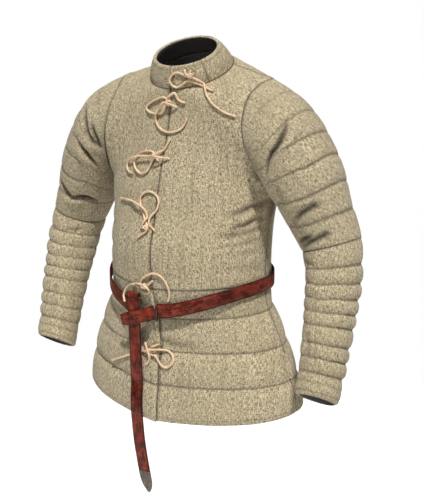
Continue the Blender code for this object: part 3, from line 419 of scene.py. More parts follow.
def bodyGrid(back, us, vs):
    vs = np.asarray(vs)
    under = jacket["underarm"]
    line = centreBack if back else centreFront
    low = np.clip(vs / under, 0.0, 1.0)
    high = np.clip((vs - under) / (1.0 - under), 0.0, 1.0)
    below = vs < under
    share = np.where(below, low * 3 / 7, 3 / 7 + 4 / 7 * np.clip(high / 0.5, 0.0, 1.0))
    centre = midPlane(along(line, share))
    top = high > 0.5
    centre[top] = neckLine(neckDegrees(back, (high[top] - 0.5) / 0.5))
    side = np.where(below[:, None], along(sideSeam, low), along(armscyeBack if back else armscyeFront, high))
    roundness = np.where(below, 1.0 - 0.12 * low, 0.88 * (1.0 - high) ** 0.8)
    return arcGrid(centre, side, roundness, us)


def skirtGrid(back, us, ws):
    ws = np.asarray(ws)
    centre = midPlane(along(skirtBackCentre if back else skirtFrontCentre, ws))
    side = along(skirtSide, ws)
    opened = np.clip((ws - jacket["ventTop"]) / (1.0 - jacket["ventTop"]), 0.0, 1.0)
    side[:, 1] += (0.5 if back else -0.5) * jacket["ventWidth"] * opened
    return arcGrid(centre, side, 1.0 - 0.1 * ws, us)


def armscyeLine(turns):
    turns = np.asarray(turns) % 1.0
    front = along(armscyeFront, turns / 0.5)
    back = along(armscyeBack, (1.0 - turns) / 0.5)
    return np.where((turns <= 0.5)[:, None], front, back)


def ringLine(row, turns):
    x, y, z, outX, outZ, depth, rise = row
    angle = math.tau * np.asarray(turns)[:, None]
    outward = np.array([outX, 0.0, outZ])
    forward = np.array([0.0, -depth, rise])
    return np.array([x, y, z]) - outward * np.cos(angle) + forward * np.sin(angle)


def upperSleeveGrid(turns, ws):
    rows = np.stack([armscyeLine(turns)] + [ringLine(row, turns) for row in upperRings])
    return along(rows, ws)


def lowerSleeveGrid(turns, ws):
    rows = along(lowerRings, ws)
    return np.stack([ringLine(row, turns) for row in rows])


def collarGrid(degrees, ws):
    foot, rim = neckLine(degrees), rimLine(degrees)
    ws = np.asarray(ws)[:, None, None]
    return foot[None] * (1.0 - ws) + rim[None] * ws


# Fine grids: outward directions, lengths along the cloth, uneven ground


def unit(vectors):
    return vectors / np.maximum(np.linalg.norm(vectors, axis=-1, keepdims=True), 1e-12)


def normalsOf(grid, middle, closed=False):
    if closed:
        around = np.roll(grid, -1, axis=1) - np.roll(grid, 1, axis=1)
    else:
        around = np.gradient(grid, axis=1)
    normal = unit(np.cross(around, np.gradient(grid, axis=0)))
    flip = (normal * (grid - middle)).sum(-1, keepdims=True) < 0.0
    return np.where(flip, -normal, normal)


def lengthsOf(grid, closed=False):
    # metres along the rows and along the columns, for the weave and the stitches
    if closed:
        grid = np.concatenate([grid, grid[:, :1]], 1)
    across = np.linalg.norm(np.diff(grid, axis=1), axis=-1)
    down = np.linalg.norm(np.diff(grid, axis=0), axis=-1)
    u = np.concatenate([np.zeros((len(grid), 1)), np.cumsum(across, 1)], 1)
    v = np.concatenate([np.zeros((1, grid.shape[1])), np.cumsum(down, 0)], 0)
    return u, v


def unevenness(x, y, seed=0):
    # smooth value noise from 0 to 1
    xi, yi = np.floor(x), np.floor(y)
    fx, fy = x - xi, y - yi
    fx, fy = fx * fx * (3 - 2 * fx), fy * fy * (3 - 2 * fy)

    def corner(i, j):
        value = np.sin(i * 127.1 + j * 311.7 + seed * 74.7) * 43758.5453
        return value - np.floor(value)
    low = corner(xi, yi) * (1 - fx) + corner(xi + 1, yi) * fx
    high = corner(xi, yi + 1) * (1 - fx) + corner(xi + 1, yi + 1) * fx
    return low * (1 - fy) + high * fy


def rough(x, y, seed=0):
    return (unevenness(x, y, seed) + 0.5 * unevenness(x * 2.1, y * 2.1, seed + 5)) / 1.5 - 0.5


def channels(places, lines):
    # for each place: share across its channel, which channel, and where its nearest line is
    stops = np.array([-1e-9] + list(lines) + [1.0 + 1e-9])
    index = np.clip(np.searchsorted(stops, places, side="right") - 1, 0, len(stops) - 2)
    share = (places - stops[index]) / (stops[index + 1] - stops[index])
    return share, index


def pillow(share, flat=2.6):
    return 1.0 - np.abs(2.0 * share - 1.0) ** flat


def creaseHeight(points, creases):
    # soft troughs and ridges along drawn lines: points of the line, then width and depth; also a mark of painted shade
    # in the deep troughs
    height, foldShadeMark = np.zeros(points.shape[:-1]), np.zeros(points.shape[:-1])
    places = points.reshape(-1, 3)
    for line, width, depth in creases:
        line = np.stack([places[np.argmin(((places - np.asarray(p)) ** 2).sum(-1))] for p in line])
        starts, ends = line[:-1], line[1:]
        best = np.full(points.shape[:-1], 9.0)
        place = np.zeros(points.shape[:-1])
        for k, (a, b) in enumerate(zip(starts, ends)):
            run = b - a
            t = np.clip(((points - a) @ run) / (run @ run), 0.0, 1.0)
            distance = np.linalg.norm(points - (a + t[..., None] * run), axis=-1)
            closer = distance < best
            best = np.where(closer, distance, best)
            place = np.where(closer, (k + t) / len(starts), place)
        taper = np.clip(np.sin(math.pi * np.clip(place * 0.94 + 0.03, 0.0, 1.0)), 0.0, 1.0) ** 0.6
        height += depth * taper * np.exp(-(best / width) ** 2)
        darkening = np.clip((-depth - 0.0024) / 0.0056, 0.0, 1.0)        # painted shade, only in deep folds
        foldShadeMark = np.maximum(foldShadeMark, darkening * taper ** 0.6 * np.exp(-(best / (width * 0.85)) ** 2))
    return height, foldShadeMark


# Closed walls: fine cloth outside, plain lining inside


def zipper(first, second):
    # triangles between two lines of vertex numbers that may differ in count
    faces = []
    i = j = 0
    m, n = len(first) - 1, len(second) - 1
    while i < m or j < n:
        if j == n or (i < m and (i + 1) / m <= (j + 1) / n):
            faces.append((first[i], first[i + 1], second[j]))
            i += 1
        else:
            faces.append((first[i], second[j + 1], second[j]))
            j += 1
    return faces


def gridFaces(rows, columns, start, closed):
    ids = start + np.arange(rows * columns).reshape(rows, columns)
    right = np.roll(ids, -1, axis=1) if closed else ids[:, 1:]
    left = ids if closed else ids[:, :-1]
    return np.stack([left[:-1], right[:-1], right[1:], left[1:]], -1).reshape(-1, 4), ids


def buildWall(name, outer, inner, closed, u, v, valley, replaced, mirror=False):
    rows, columns = outer.shape[:2]
    outFaces, outIds = gridFaces(rows, columns, 0, closed)
    inFaces, inIds = gridFaces(inner.shape[0], inner.shape[1], rows * columns, closed)
    edges = []
    if closed:
        for end in (0, -1):
            edges += zipper(list(outIds[end]) + [outIds[end][0]], list(inIds[end]) + [inIds[end][0]])
    else:
        for end in (0, -1):
            edges += zipper(list(outIds[end]), list(inIds[end]))
            edges += zipper(list(outIds[:, end]), list(inIds[:, end]))
    points = np.concatenate([outer.reshape(-1, 3), inner.reshape(-1, 3)])
    if mirror:
        points = points * np.array([-1.0, 1.0, 1.0])
    faces = [tuple(f) for f in outFaces.tolist()] + [tuple(f) for f in inFaces.tolist()] + edges
    mesh = bpy.data.meshes.new(name)
    mesh.from_pydata(points.tolist(), [], faces)
    mesh.materials.append(linenCloth)
    mesh.materials.append(liningCloth)
    slots = np.zeros(len(faces), int)
    slots[len(outFaces):len(outFaces) + len(inFaces)] = 1
    mesh.polygons.foreach_set("material_index", slots)
    mesh.polygons.foreach_set("use_smooth", np.ones(len(faces), bool))
    # the weave follows the cloth: metres along the rows and columns
    layer = mesh.uv_layers.new(name="weave")
    if closed:
        lastColumn = np.tile(np.arange(columns), rows - 1)
        wrap = np.stack([lastColumn, lastColumn + 1, lastColumn + 1, lastColumn], -1)
        low = np.repeat(np.arange(rows - 1), columns)
    else:
        firstColumn = np.tile(np.arange(columns - 1), rows - 1)
        wrap = np.stack([firstColumn, firstColumn + 1, firstColumn + 1, firstColumn], -1)
        low = np.repeat(np.arange(rows - 1), columns - 1)
    height = np.stack([low, low, low + 1, low + 1], -1)
    outerUv = np.stack([u[height, wrap], v[height, wrap]], -1).reshape(-1, 2)
    total = len(mesh.loops)
    uvs = np.zeros((total, 2))
    uvs[:len(outerUv)] = outerUv
    rest = np.zeros(total, int)
    mesh.loops.foreach_get("vertex_index", rest)
    others = points[rest[len(outerUv):]]
    uvs[len(outerUv):] = np.stack([others[:, 0] + others[:, 1], others[:, 2]], -1)
    layer.data.foreach_set("uv", uvs.ravel())
    marks = mesh.attributes.new("valley", "FLOAT", "POINT")
    values = np.zeros(len(points))
    values[:rows * columns] = valley.reshape(-1)
    marks.data.foreach_set("value", values)
    tidy = bmesh.new()
    tidy.from_mesh(mesh)
    bmesh.ops.recalc_face_normals(tidy, faces=tidy.faces)
    tidy.to_mesh(mesh)
    tidy.free()
    piece = bpy.data.objects.new(name, mesh)
    bpy.context.scene.collection.objects.link(piece)
    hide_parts(replaced)
    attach(piece, "root")
    return piece


def innerOf(grid, normals, wall, step, closed):
    inner = grid - normals * wall
    if closed:
        return inner[::step, ::step]
    rows = sorted(set(list(range(0, inner.shape[0], step)) + [inner.shape[0] - 1]))
    columns = sorted(set(list(range(0, inner.shape[1], step)) + [inner.shape[1] - 1]))
    return inner[np.ix_(rows, columns)]


def sunk(folds, reach):
    # how far the lining must step back behind the folds, over its own wide mesh
    deep = np.maximum(-folds, 0.0)
    for axis in (0, 1):
        deep = np.max([np.roll(deep, k, axis) for k in range(-reach, reach + 1)], axis=0)
    return deep


def drawIn(grid, amount, sides):
    # moves chosen borders in along the cloth: left, right, first row, last row
    grid = grid.copy()
    if "left" in sides:
        grid[:, 0] += unit(grid[:, 1] - grid[:, 0]) * amount
    if "right" in sides:
        grid[:, -1] += unit(grid[:, -2] - grid[:, -1]) * amount
    if "first" in sides:
        grid[0] += unit(grid[1] - grid[0]) * amount
    if "last" in sides:
        grid[-1] += unit(grid[-2] - grid[-1]) * amount
    return grid


def rolledEdge(distance, radius=0.0045):
    # how far the cloth turns in towards a free edge
    inside = np.clip(distance / radius, 0.0, 1.0)
    return -radius * (1.0 - np.sqrt(np.clip(1.0 - (1.0 - inside) ** 2, 0.0, 1.0)))


print("curves and tools ready")

# Quilting: soft pillows between sewn lines, puckered along the thread


def quilting(places, runs, across, lines, dip, seed, flat=2.6, pucker=0.0007):
    # places: share across the lines; runs and across: metres along and across them
    share, index = channels(places, lines)
    width = np.ptp(across, axis=0).mean() / (len(lines) + 1) if across.shape[0] > 1 else 0.05
    distance = np.minimum(share, 1.0 - share) * width
    height = dip * (pillow(share, flat) - 1.0)
    grain = unevenness(runs / 0.0075, index * 3.3 + 0.5, seed) - 0.5
    wide = unevenness(runs / 0.031, index * 1.7 + 0.2, seed + 3) - 0.5
    height = height + pucker * 2.0 * grain * np.exp(-distance / 0.006) + pucker * 1.6 * wide * pillow(share)
    return height, np.exp(-(distance / 0.0017) ** 2)


def ease(distance, reach):
    t = np.clip(distance / reach, 0.0, 1.0)
    return t * t * (3.0 - 2.0 * t)


stitches = {"pitch": 0.0050, "length": 0.0029, "thick": 0.00042}
stitchRows = []         # rows of (points, normals), sewn at the end


def stitchAlong(points, normals, mirror=False):
    if mirror:
        flipX = np.array([-1.0, 1.0, 1.0])
        points, normals = points * flipX, normals * flipX
    stitchRows.append((np.asarray(points), np.asarray(normals)))


def sewRows():
    # each stitch is a stretched grain of thread lying in its valley
    vertices, faces = [], []
    for points, normals in stitchRows:
        steps = np.linalg.norm(np.diff(points, axis=0), axis=-1)
        run = np.concatenate([[0.0], np.cumsum(steps)])
        count = int(run[-1] / stitches["pitch"])
        for k in range(count):
            middle = (k + 0.5) * stitches["pitch"]
            ends = [middle - stitches["length"] / 2, middle + stitches["length"] / 2]
            a, b = [np.array([np.interp(e, run, points[:, i]) for i in range(3)]) for e in ends]
            normal = np.array([np.interp(middle, run, normals[:, i]) for i in range(3)])
            normal /= max(np.linalg.norm(normal), 1e-9)
            side = np.cross(b - a, normal)
            side /= max(np.linalg.norm(side), 1e-9)
            lift = normal * stitches["thick"] * 0.3
            centre = (a + b) / 2 + lift
            thick = stitches["thick"]
            base = len(vertices)
            vertices += [a, b, centre + side * thick, centre - side * thick, centre + normal * thick, centre - normal * thick]
            faces += [(base + i, base + j, base + m) for i, j, m in (
                (0, 2, 4), (0, 4, 3), (0, 3, 5), (0, 5, 2), (1, 4, 2), (1, 3, 4), (1, 5, 3), (1, 2, 5))]
    mesh = bpy.data.meshes.new("quiltStitches")
    mesh.from_pydata([tuple(p) for p in vertices], [], faces)
    mesh.materials.append(sewingThread)
    mesh.polygons.foreach_set("use_smooth", np.ones(len(faces), bool))
    piece = bpy.data.objects.new("quiltStitches", mesh)
    bpy.context.scene.collection.objects.link(piece)
    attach(piece, "root")
    print("stitches sewn:", len(faces) // 8)


# Body

body = {
    "lines": (0.25, 0.5, 0.75),
    "dip": 0.0005,           # depth of the upright quilting
    "pucker": 0.0003,
    "slack": 0.0016,         # broad unevenness of the cloth
    "columns": 97,
    "rows": 177,
}
# drawn creases: points of the line, half width, height (a trough is below zero)
bodyCreases = {
    "left": [
        (((0.132, -0.084, -0.276), (0.147, -0.070, -0.272), (0.156, -0.056, -0.264), (0.173, -0.030, -0.253),
          (0.178, -0.010, -0.246)), 0.0065, -0.0060),
        (((0.128, -0.090, -0.290), (0.150, -0.064, -0.283), (0.168, -0.036, -0.272)), 0.0085, 0.0030),
        (((0.140, -0.078, -0.296), (0.153, -0.061, -0.292), (0.162, -0.047, -0.287),
          (0.172, -0.028, -0.279)), 0.0060, -0.0056),
        (((0.118, -0.104, -0.313), (0.132, -0.091, -0.312), (0.144, -0.078, -0.311), (0.153, -0.062, -0.310),
          (0.169, -0.028, -0.301)), 0.0060, -0.0052),
        (((0.120, -0.104, -0.322), (0.150, -0.068, -0.319), (0.168, -0.030, -0.312)), 0.0080, 0.0022),
        (((0.126, -0.100, -0.330), (0.154, -0.062, -0.326), (0.169, -0.027, -0.324)), 0.0060, -0.0026),
        (((0.130, -0.088, -0.352), (0.160, -0.049, -0.345), (0.170, -0.020, -0.340)), 0.0070, -0.0022),
        (((0.110, -0.100, -0.372), (0.150, -0.062, -0.380), (0.169, -0.015, -0.384)), 0.0075, -0.0022),
        (((0.004, -0.108, -0.178), (0.027, -0.101, -0.169), (0.050, -0.093, -0.158)), 0.0055, -0.0016),
        (((0.060, -0.075, -0.080), (0.085, -0.070, -0.110), (0.110, -0.075, -0.150)), 0.0140, -0.0016),
        (((0.045, -0.122, -0.250), (0.075, -0.116, -0.262), (0.105, -0.106, -0.266)), 0.0120, -0.0012),
        (((0.030, -0.138, -0.345), (0.065, -0.130, -0.352), (0.100, -0.112, -0.350)), 0.0120, -0.0014),
    ],
    "right": [
        (((-0.114, -0.018, -0.026), (-0.106, -0.050, -0.043), (-0.099, -0.071, -0.067), (-0.106, -0.078, -0.090),
          (-0.116, -0.080, -0.125)), 0.0035, -0.0024),
        (((-0.101, -0.099, -0.240), (-0.066, -0.105, -0.217), (-0.026, -0.111, -0.200)), 0.0095, -0.0022),
        (((-0.130, -0.080, -0.262), (-0.100, -0.105, -0.258), (-0.070, -0.116, -0.268)), 0.0100, -0.0018),
        (((-0.160, -0.045, -0.300), (-0.140, -0.080, -0.312), (-0.110, -0.105, -0.316)), 0.0085, -0.0030),
        (((-0.165, -0.035, -0.345), (-0.140, -0.075, -0.356), (-0.105, -0.108, -0.352)), 0.0085, -0.0026),
        (((-0.168, -0.020, -0.272), (-0.152, -0.060, -0.280), (-0.128, -0.090, -0.284)), 0.0070, -0.0026),
        (((-0.020, -0.130, -0.330), (-0.050, -0.128, -0.342), (-0.085, -0.118, -0.345)), 0.0110, -0.0014),
    ],
    "back": [
        (((0.060, 0.110, -0.340), (0.110, 0.090, -0.350), (0.155, 0.050, -0.345)), 0.0090, -0.0030),
        (((0.050, 0.115, -0.372), (0.100, 0.100, -0.380), (0.150, 0.060, -0.372)), 0.0085, -0.0028),
        (((0.070, 0.120, -0.290), (0.120, 0.095, -0.285), (0.165, 0.040, -0.270)), 0.0090, -0.0028),
        (((0.030, 0.130, -0.230), (0.080, 0.125, -0.222), (0.130, 0.100, -0.200)), 0.0120, -0.0020),
        (((0.020, 0.100, -0.390), (0.040, 0.102, -0.360), (0.050, 0.110, -0.330)), 0.0110, -0.0018),
    ],
}


def straightGrain(grid, back):
    # the cloth hangs with its threads upright, whatever way the panel is cut
    side = 1.0 if back else -1.0
    turn = np.arctan2(grid[..., 0], side * grid[..., 1] + 0.06)
    return 0.17 * turn, grid[..., 2] - 0.7 * side * grid[..., 1]


def bodyPiece(name, back, label, mirror, creases, seed):
    us = np.linspace(0.0, 1.0, body["columns"])
    vs = np.linspace(0.0, 1.0, body["rows"])
    grid = bodyGrid(back, us, vs)
    middle = np.stack([np.zeros_like(grid[..., 0]), np.zeros_like(grid[..., 0]), np.minimum(grid[..., 2], -0.16)], -1)
    normals = normalsOf(grid, middle)
    u, v = lengthsOf(grid)
    places = np.tile(us, (len(vs), 1))
    height, valley = quilting(places.T, v.T, u.T, body["lines"], body["dip"], seed, pucker=body["pucker"])
    height, valley = height.T, valley.T * 0.10
    height = height + body["slack"] * rough(u / 0.085, v / 0.13, seed) + 0.0006 * rough(u / 0.02, v / 0.028, seed + 1)
    fromWaist, fromTop = v, v[-1:] - v
    fromFront, fromSide = u, u[:, -1:] - u
    # sewn-in borders: waist, side seam or armscye, shoulder and neck
    for distance in (fromWaist, fromTop, fromSide):
        height = height * ease(distance, 0.02) - 0.0012 * np.exp(-(distance / 0.0035) ** 2)
        valley = np.maximum(valley, 0.8 * np.exp(-(distance / 0.0022) ** 2))
    below = -grid[..., 2]
    darkening = np.exp(-(fromSide / 0.013) ** 2) * ease(below - 0.175, 0.03)          # painted shade where the arm lies against the side
    darkening = darkening * (1.0 - 0.55 * ease(below - 0.26, 0.04)) * (1.0 - ease(below - 0.35, 0.05))
    valley = np.maximum(valley, darkening)
    upper = vs[:, None] > jacket["underarm"] + 0.5 * (1.0 - jacket["underarm"])
    if back:
        inBorder = np.where(upper, fromFront, 9.0)
        height = height * ease(inBorder, 0.01)
        valley = np.maximum(valley, 0.8 * np.exp(-(inBorder / 0.0022) ** 2))
    else:
        edge = np.where(upper, 9.0, fromFront)
        height = height * ease(np.where(upper, fromFront, 9.0), 0.01) + rolledEdge(edge, 0.0030)
        valley = np.maximum(valley, 0.7 * np.exp(-(np.where(upper, fromFront, 9.0) / 0.0022) ** 2))
        valley = np.maximum(valley, 0.9 * np.exp(-(edge / 0.0024) ** 2))    # painted shade of the gap along the open edge
    flipX = np.array([-1.0 if mirror else 1.0, 1.0, 1.0])
    # the creases' painted shade joins the valley mark
    folds, foldShade = creaseHeight(grid * flipX, creases)
    height, valley = height + folds, np.maximum(valley, foldShade)
    u, v = straightGrain(grid, back)
    outer = grid + normals * height[..., None]
    thin = 0.30 + 0.70 * np.minimum.reduce([ease(fromWaist, 0.014), ease(fromTop, 0.014), ease(fromSide, 0.014),
                                            ease(fromFront, 0.012) * 0.5 + 0.5])
    inner = innerOf(grid, normals, (jacket["wall"] * thin + sunk(folds, 8))[..., None], 8, False)
    gap = jacket["seamGap"] / 2
    outer = drawIn(outer, gap, ("right", "first", "last"))
    inner = drawIn(inner, gap + 0.0012, ("right", "first", "last"))
    if not back:
        outer[:, 0, 0] += jacket["openingGap"] / 2 * (vs <= 0.7)
        inner[:, 0, 0] += jacket["openingGap"] / 2
    return outer, inner, u, v, valley, normals


def frontPieces():
    for label, mirror, seed in (("left", False, 11), ("right", True, 23)):
        outer, inner, u, v, valley, normals = bodyPiece("front", False, label, mirror, bodyCreases[label], seed)
        piece = buildWall("bodyFront_" + label, outer, inner, False, u, v, valley, "body_front_" + label, mirror)
        for line in body["lines"]:
            column = int(round(line * (body["columns"] - 1)))
            if label == "right":
                stitchAlong(outer[6:-4, column], normals[6:-4, column], mirror)


def backPiece():
    outer, inner, u, v, valley, normals = bodyPiece("back", True, "back", False, bodyCreases["back"], 37)
    flipX = np.array([-1.0, 1.0, 1.0])
    vs = np.linspace(0.0, 1.0, body["rows"])
    neckRow = int(np.searchsorted(vs, jacket["underarm"] + 0.5 * (1.0 - jacket["underarm"])))
    # two mirrored halves share the centre line up to the neck
    vertices, faces, uvs, marks, slots = [], [], [], [], []

    def addSide(grid, isOuter, flip, sharedIds, seamRow):
        rows, columns = grid.shape[:2]
        ids = np.zeros((rows, columns), int)
        for i in range(rows):
            for k in range(columns):
                if sharedIds is not None and k == 0 and i <= seamRow:
                    ids[i, 0] = sharedIds[i, 0]
                    continue
                ids[i, k] = len(vertices)
                vertices.append(tuple(grid[i, k] * flip))
                if isOuter:
                    marks.append(float(valley[i, k]))
                    uvs.append((float(u[i, k]) * float(flip[0]) + 0.5, float(v[i, k])))
                else:
                    marks.append(0.0)
                    uvs.append((float(grid[i, k, 0]), float(grid[i, k, 2])))
        for i in range(rows - 1):
            for k in range(columns - 1):
                faces.append((ids[i, k], ids[i, k + 1], ids[i + 1, k + 1], ids[i + 1, k]))
                slots.append(0 if isOuter else 1)
        return ids

    innerRows = sorted(set(list(range(0, body["rows"], 8)) + [body["rows"] - 1]))
    innerNeckRow = next(i for i, row in enumerate(innerRows) if row >= neckRow)
    outLeft = addSide(outer, True, np.ones(3), None, 0)
    inLeft = addSide(inner, False, np.ones(3), None, 0)
    outRight = addSide(outer, True, flipX, outLeft, neckRow)
    inRight = addSide(inner, False, flipX, inLeft, innerNeckRow)
    edges = []
    for out, ins in ((outLeft, inLeft), (outRight, inRight)):
        edges += zipper(list(out[0]), list(ins[0])) + zipper(list(out[-1]), list(ins[-1]))
        edges += zipper(list(out[:, -1]), list(ins[:, -1]))
        edges += zipper(list(out[neckRow:, 0]), list(ins[innerNeckRow:, 0]))
    faces += edges
    slots += [0] * len(edges)
    mesh = bpy.data.meshes.new("bodyBack")
    mesh.from_pydata(vertices, [], faces)
    mesh.materials.append(linenCloth)
    mesh.materials.append(liningCloth)
    mesh.polygons.foreach_set("material_index", slots)
    mesh.polygons.foreach_set("use_smooth", np.ones(len(faces), bool))
    layer = mesh.uv_layers.new(name="weave")
    which = np.zeros(len(mesh.loops), int)
    mesh.loops.foreach_get("vertex_index", which)
    layer.data.foreach_set("uv", np.array(uvs)[which].ravel())
    marked = mesh.attributes.new("valley", "FLOAT", "POINT")
    marked.data.foreach_set("value", marks)
    tidy = bmesh.new()
    tidy.from_mesh(mesh)
    bmesh.ops.recalc_face_normals(tidy, faces=tidy.faces)
    tidy.to_mesh(mesh)
    tidy.free()
    piece = bpy.data.objects.new("bodyBack", mesh)
    bpy.context.scene.collection.objects.link(piece)
    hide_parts("body_back")
    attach(piece, "root")
    for line in body["lines"]:
        column = int(round(line * (body["columns"] - 1)))
        for mirror in (False, True):
            stitchAlong(outer[6:-4, column], normals[6:-4, column], mirror)


# Skirt

skirt = {
    "lines": (0.25, 0.5, 0.75),
    "dip": 0.0042,
    "pucker": 0.0008,
    "slack": 0.0022,
    "columns": 97,
    "rows": 121,
}
skirtCreases = {
    "left": [
        (((0.002, -0.130, -0.524), (0.032, -0.128, -0.528), (0.062, -0.124, -0.530),
          (0.085, -0.118, -0.526)), 0.0075, -0.0040),
        (((0.002, -0.130, -0.508), (0.035, -0.128, -0.510), (0.070, -0.122, -0.512)), 0.0090, 0.0024),
        (((0.161, -0.055, -0.440), (0.178, -0.045, -0.472), (0.193, -0.041, -0.505)), 0.0080, -0.0026),
        (((0.120, -0.110, -0.560), (0.126, -0.112, -0.580), (0.128, -0.114, -0.604)), 0.0090, -0.0018),
        (((0.205, -0.060, -0.560), (0.216, -0.060, -0.600), (0.224, -0.060, -0.650)), 0.0100, -0.0030),
        (((0.060, -0.135, -0.620), (0.064, -0.138, -0.650), (0.060, -0.142, -0.680)), 0.0110, -0.0018),
        (((0.150, -0.105, -0.620), (0.160, -0.105, -0.650), (0.164, -0.106, -0.680)), 0.0110, -0.0020),
    ],
    "right": [
        (((-0.190, -0.070, -0.548), (-0.160, -0.090, -0.551), (-0.128, -0.106, -0.547),
          (-0.080, -0.124, -0.549)), 0.0065, -0.0022),
        (((-0.205, -0.060, -0.590), (-0.160, -0.100, -0.600), (-0.121, -0.118, -0.607),
          (-0.071, -0.133, -0.611)), 0.0075, -0.0026),
        (((-0.152, -0.078, -0.479), (-0.120, -0.104, -0.494), (-0.086, -0.117, -0.522)), 0.0080, -0.0032),
        (((-0.165, -0.070, -0.520), (-0.130, -0.098, -0.526), (-0.095, -0.114, -0.540)), 0.0080, 0.0022),
        (((-0.120, -0.112, -0.630), (-0.128, -0.116, -0.655), (-0.130, -0.120, -0.682)), 0.0110, -0.0020),
    ],
    "back": [
        (((0.100, 0.110, -0.430), (0.115, 0.112, -0.480), (0.135, 0.118, -0.530)), 0.0100, -0.0026),
        (((0.040, 0.125, -0.430), (0.050, 0.135, -0.500), (0.060, 0.145, -0.570)), 0.0120, -0.0022),
        (((0.170, 0.080, -0.560), (0.185, 0.090, -0.610), (0.195, 0.095, -0.670)), 0.0110, -0.0026),
        (((0.090, 0.140, -0.600), (0.100, 0.146, -0.640), (0.104, 0.150, -0.680)), 0.0120, -0.0020),
    ],
}


def skirtPiece(back, mirror, creases, seed):
    us = np.linspace(0.0, 1.0, skirt["columns"])
    ws = np.linspace(0.0, 1.0, skirt["rows"])
    grid = skirtGrid(back, us, ws)
    middle = np.stack([np.zeros_like(grid[..., 0]), np.zeros_like(grid[..., 0]), grid[..., 2]], -1)
    normals = normalsOf(grid, middle)
    u, v = lengthsOf(grid)
    wobble = 0.010 * (unevenness(u / 0.09, v * 0.0, seed + 9) - 0.5)
    places = np.tile(ws[:, None], (1, len(us))) + wobble
    height, valley = quilting(places, u, v, skirt["lines"], skirt["dip"], seed, pucker=skirt["pucker"])
    height = height + skirt["slack"] * rough(u / 0.07, v / 0.09, seed) + 0.0006 * rough(u / 0.02, v / 0.02, seed + 1)
    fromWaist, fromHem = v, v[-1:] - v
    fromFront, fromSide = u, u[:, -1:] - u
    vented = ws[:, None] > jacket["ventTop"]
    height = height * ease(fromWaist, 0.02) - 0.0012 * np.exp(-(fromWaist / 0.0035) ** 2)
    sideSewn = np.where(vented, 9.0, fromSide)
    height = height * ease(sideSewn, 0.012) - 0.0012 * np.exp(-(sideSewn / 0.0035) ** 2)
    valley = np.maximum(valley, 0.8 * np.exp(-(np.minimum(fromWaist, sideSewn) / 0.0022) ** 2))
    edge = np.minimum(fromHem, np.where(vented, fromSide, 9.0))
    if not back:
        edge = np.minimum(edge, fromFront)
    height = height + rolledEdge(edge, 0.0042)
    # a row of stitches a little above the hem and beside the opening
    band = np.exp(-((edge - 0.0095) / 0.0016) ** 2)
    height = height - 0.0008 * band
    valley = np.maximum(valley, 0.35 * band)
    if not back and not mirror:
        # the other front shades a strip of this one
        shaded = jacket["overlap"] * np.clip(2.0 * ws, 0.0, 1.0)[:, None] + 0.0015 + 0.0022 * np.sin(math.pi * ws)[:, None]
        valley = np.maximum(valley, 1.0 - ease(fromFront - shaded, 0.0045))
    flipX = np.array([-1.0 if mirror else 1.0, 1.0, 1.0])
    # the creases' painted shade joins the valley mark
    folds, foldShade = creaseHeight(grid * flipX, creases)
    height, valley = height + folds, np.maximum(valley, foldShade)
    outer = grid + normals * height[..., None]
    thin = 0.35 + 0.65 * np.minimum.reduce([ease(fromWaist, 0.014), ease(edge, 0.010) * 0.4 + 0.6, ease(sideSewn, 0.012)])
    inner = innerOf(grid, normals, (jacket["wall"] * thin + sunk(folds, 8))[..., None], 8, False)
    gap = jacket["seamGap"] / 2
    outer = drawIn(outer, gap, ("right", "first", "last"))
    inner = drawIn(inner, gap + 0.0010, ("right", "first", "last"))
    if not back:
        outer[:, 0, 0] += 0.0001
        inner[:, 0, 0] += 0.0001
    if mirror:
        # this front stands over the other one below the waist
        for part in (outer, inner):
            rows, columns = part.shape[:2]
            near = np.clip(1.0 - 4.0 * np.linspace(0, 1, columns), 0.0, 1.0)[None]
            down = np.clip(2.0 * np.linspace(0, 1, rows), 0.0, 1.0)[:, None]
            part[..., 1] -= jacket["overlapLift"] * near * down
            part[..., 0] -= jacket["overlap"] * near * down
    return outer, inner, u, v, valley, normals, places


def rowNearest(places, goal, outer, normals, trim=3):
    rows = np.argmin(np.abs(places - goal), axis=0)
    columns = np.arange(places.shape[1])
    return outer[rows, columns][trim:-trim], normals[rows, columns][trim:-trim]


def skirtPieces():
    for label, mirror, seed in (("left", False, 51), ("right", True, 67)):
        outer, inner, u, v, valley, normals, places = skirtPiece(False, mirror, skirtCreases[label], seed)
        piece = buildWall("skirtFront_" + label, outer, inner, False, u, v, valley, "skirt_front_" + label, mirror)
        for line in skirt["lines"]:
            stitchAlong(*rowNearest(places, line, outer, normals), mirror)
        stitchAlong(outer[-5, 3:-3], normals[-5, 3:-3], mirror)
        stitchAlong(outer[4:-4, 3], normals[4:-4, 3], mirror)
    outer, inner, u, v, valley, normals, places = skirtPiece(True, False, skirtCreases["back"], 79)

    def both(part):
        return np.concatenate([part[:, :0:-1] * np.array([-1.0, 1.0, 1.0]), part], 1)
    wide = np.concatenate([-u[:, :0:-1], u], 1)
    high = np.concatenate([v[:, :0:-1], v], 1)
    mark = np.concatenate([valley[:, :0:-1], valley], 1)
    piece = buildWall("skirtBack", both(outer), both(inner), False, wide, high, mark, "skirt_back")
    for line in skirt["lines"]:
        for mirror in (False, True):
            stitchAlong(*rowNearest(places, line, outer, normals), mirror)
    for mirror in (False, True):
        stitchAlong(outer[-5, 3:-3], normals[-5, 3:-3], mirror)


# Sleeves

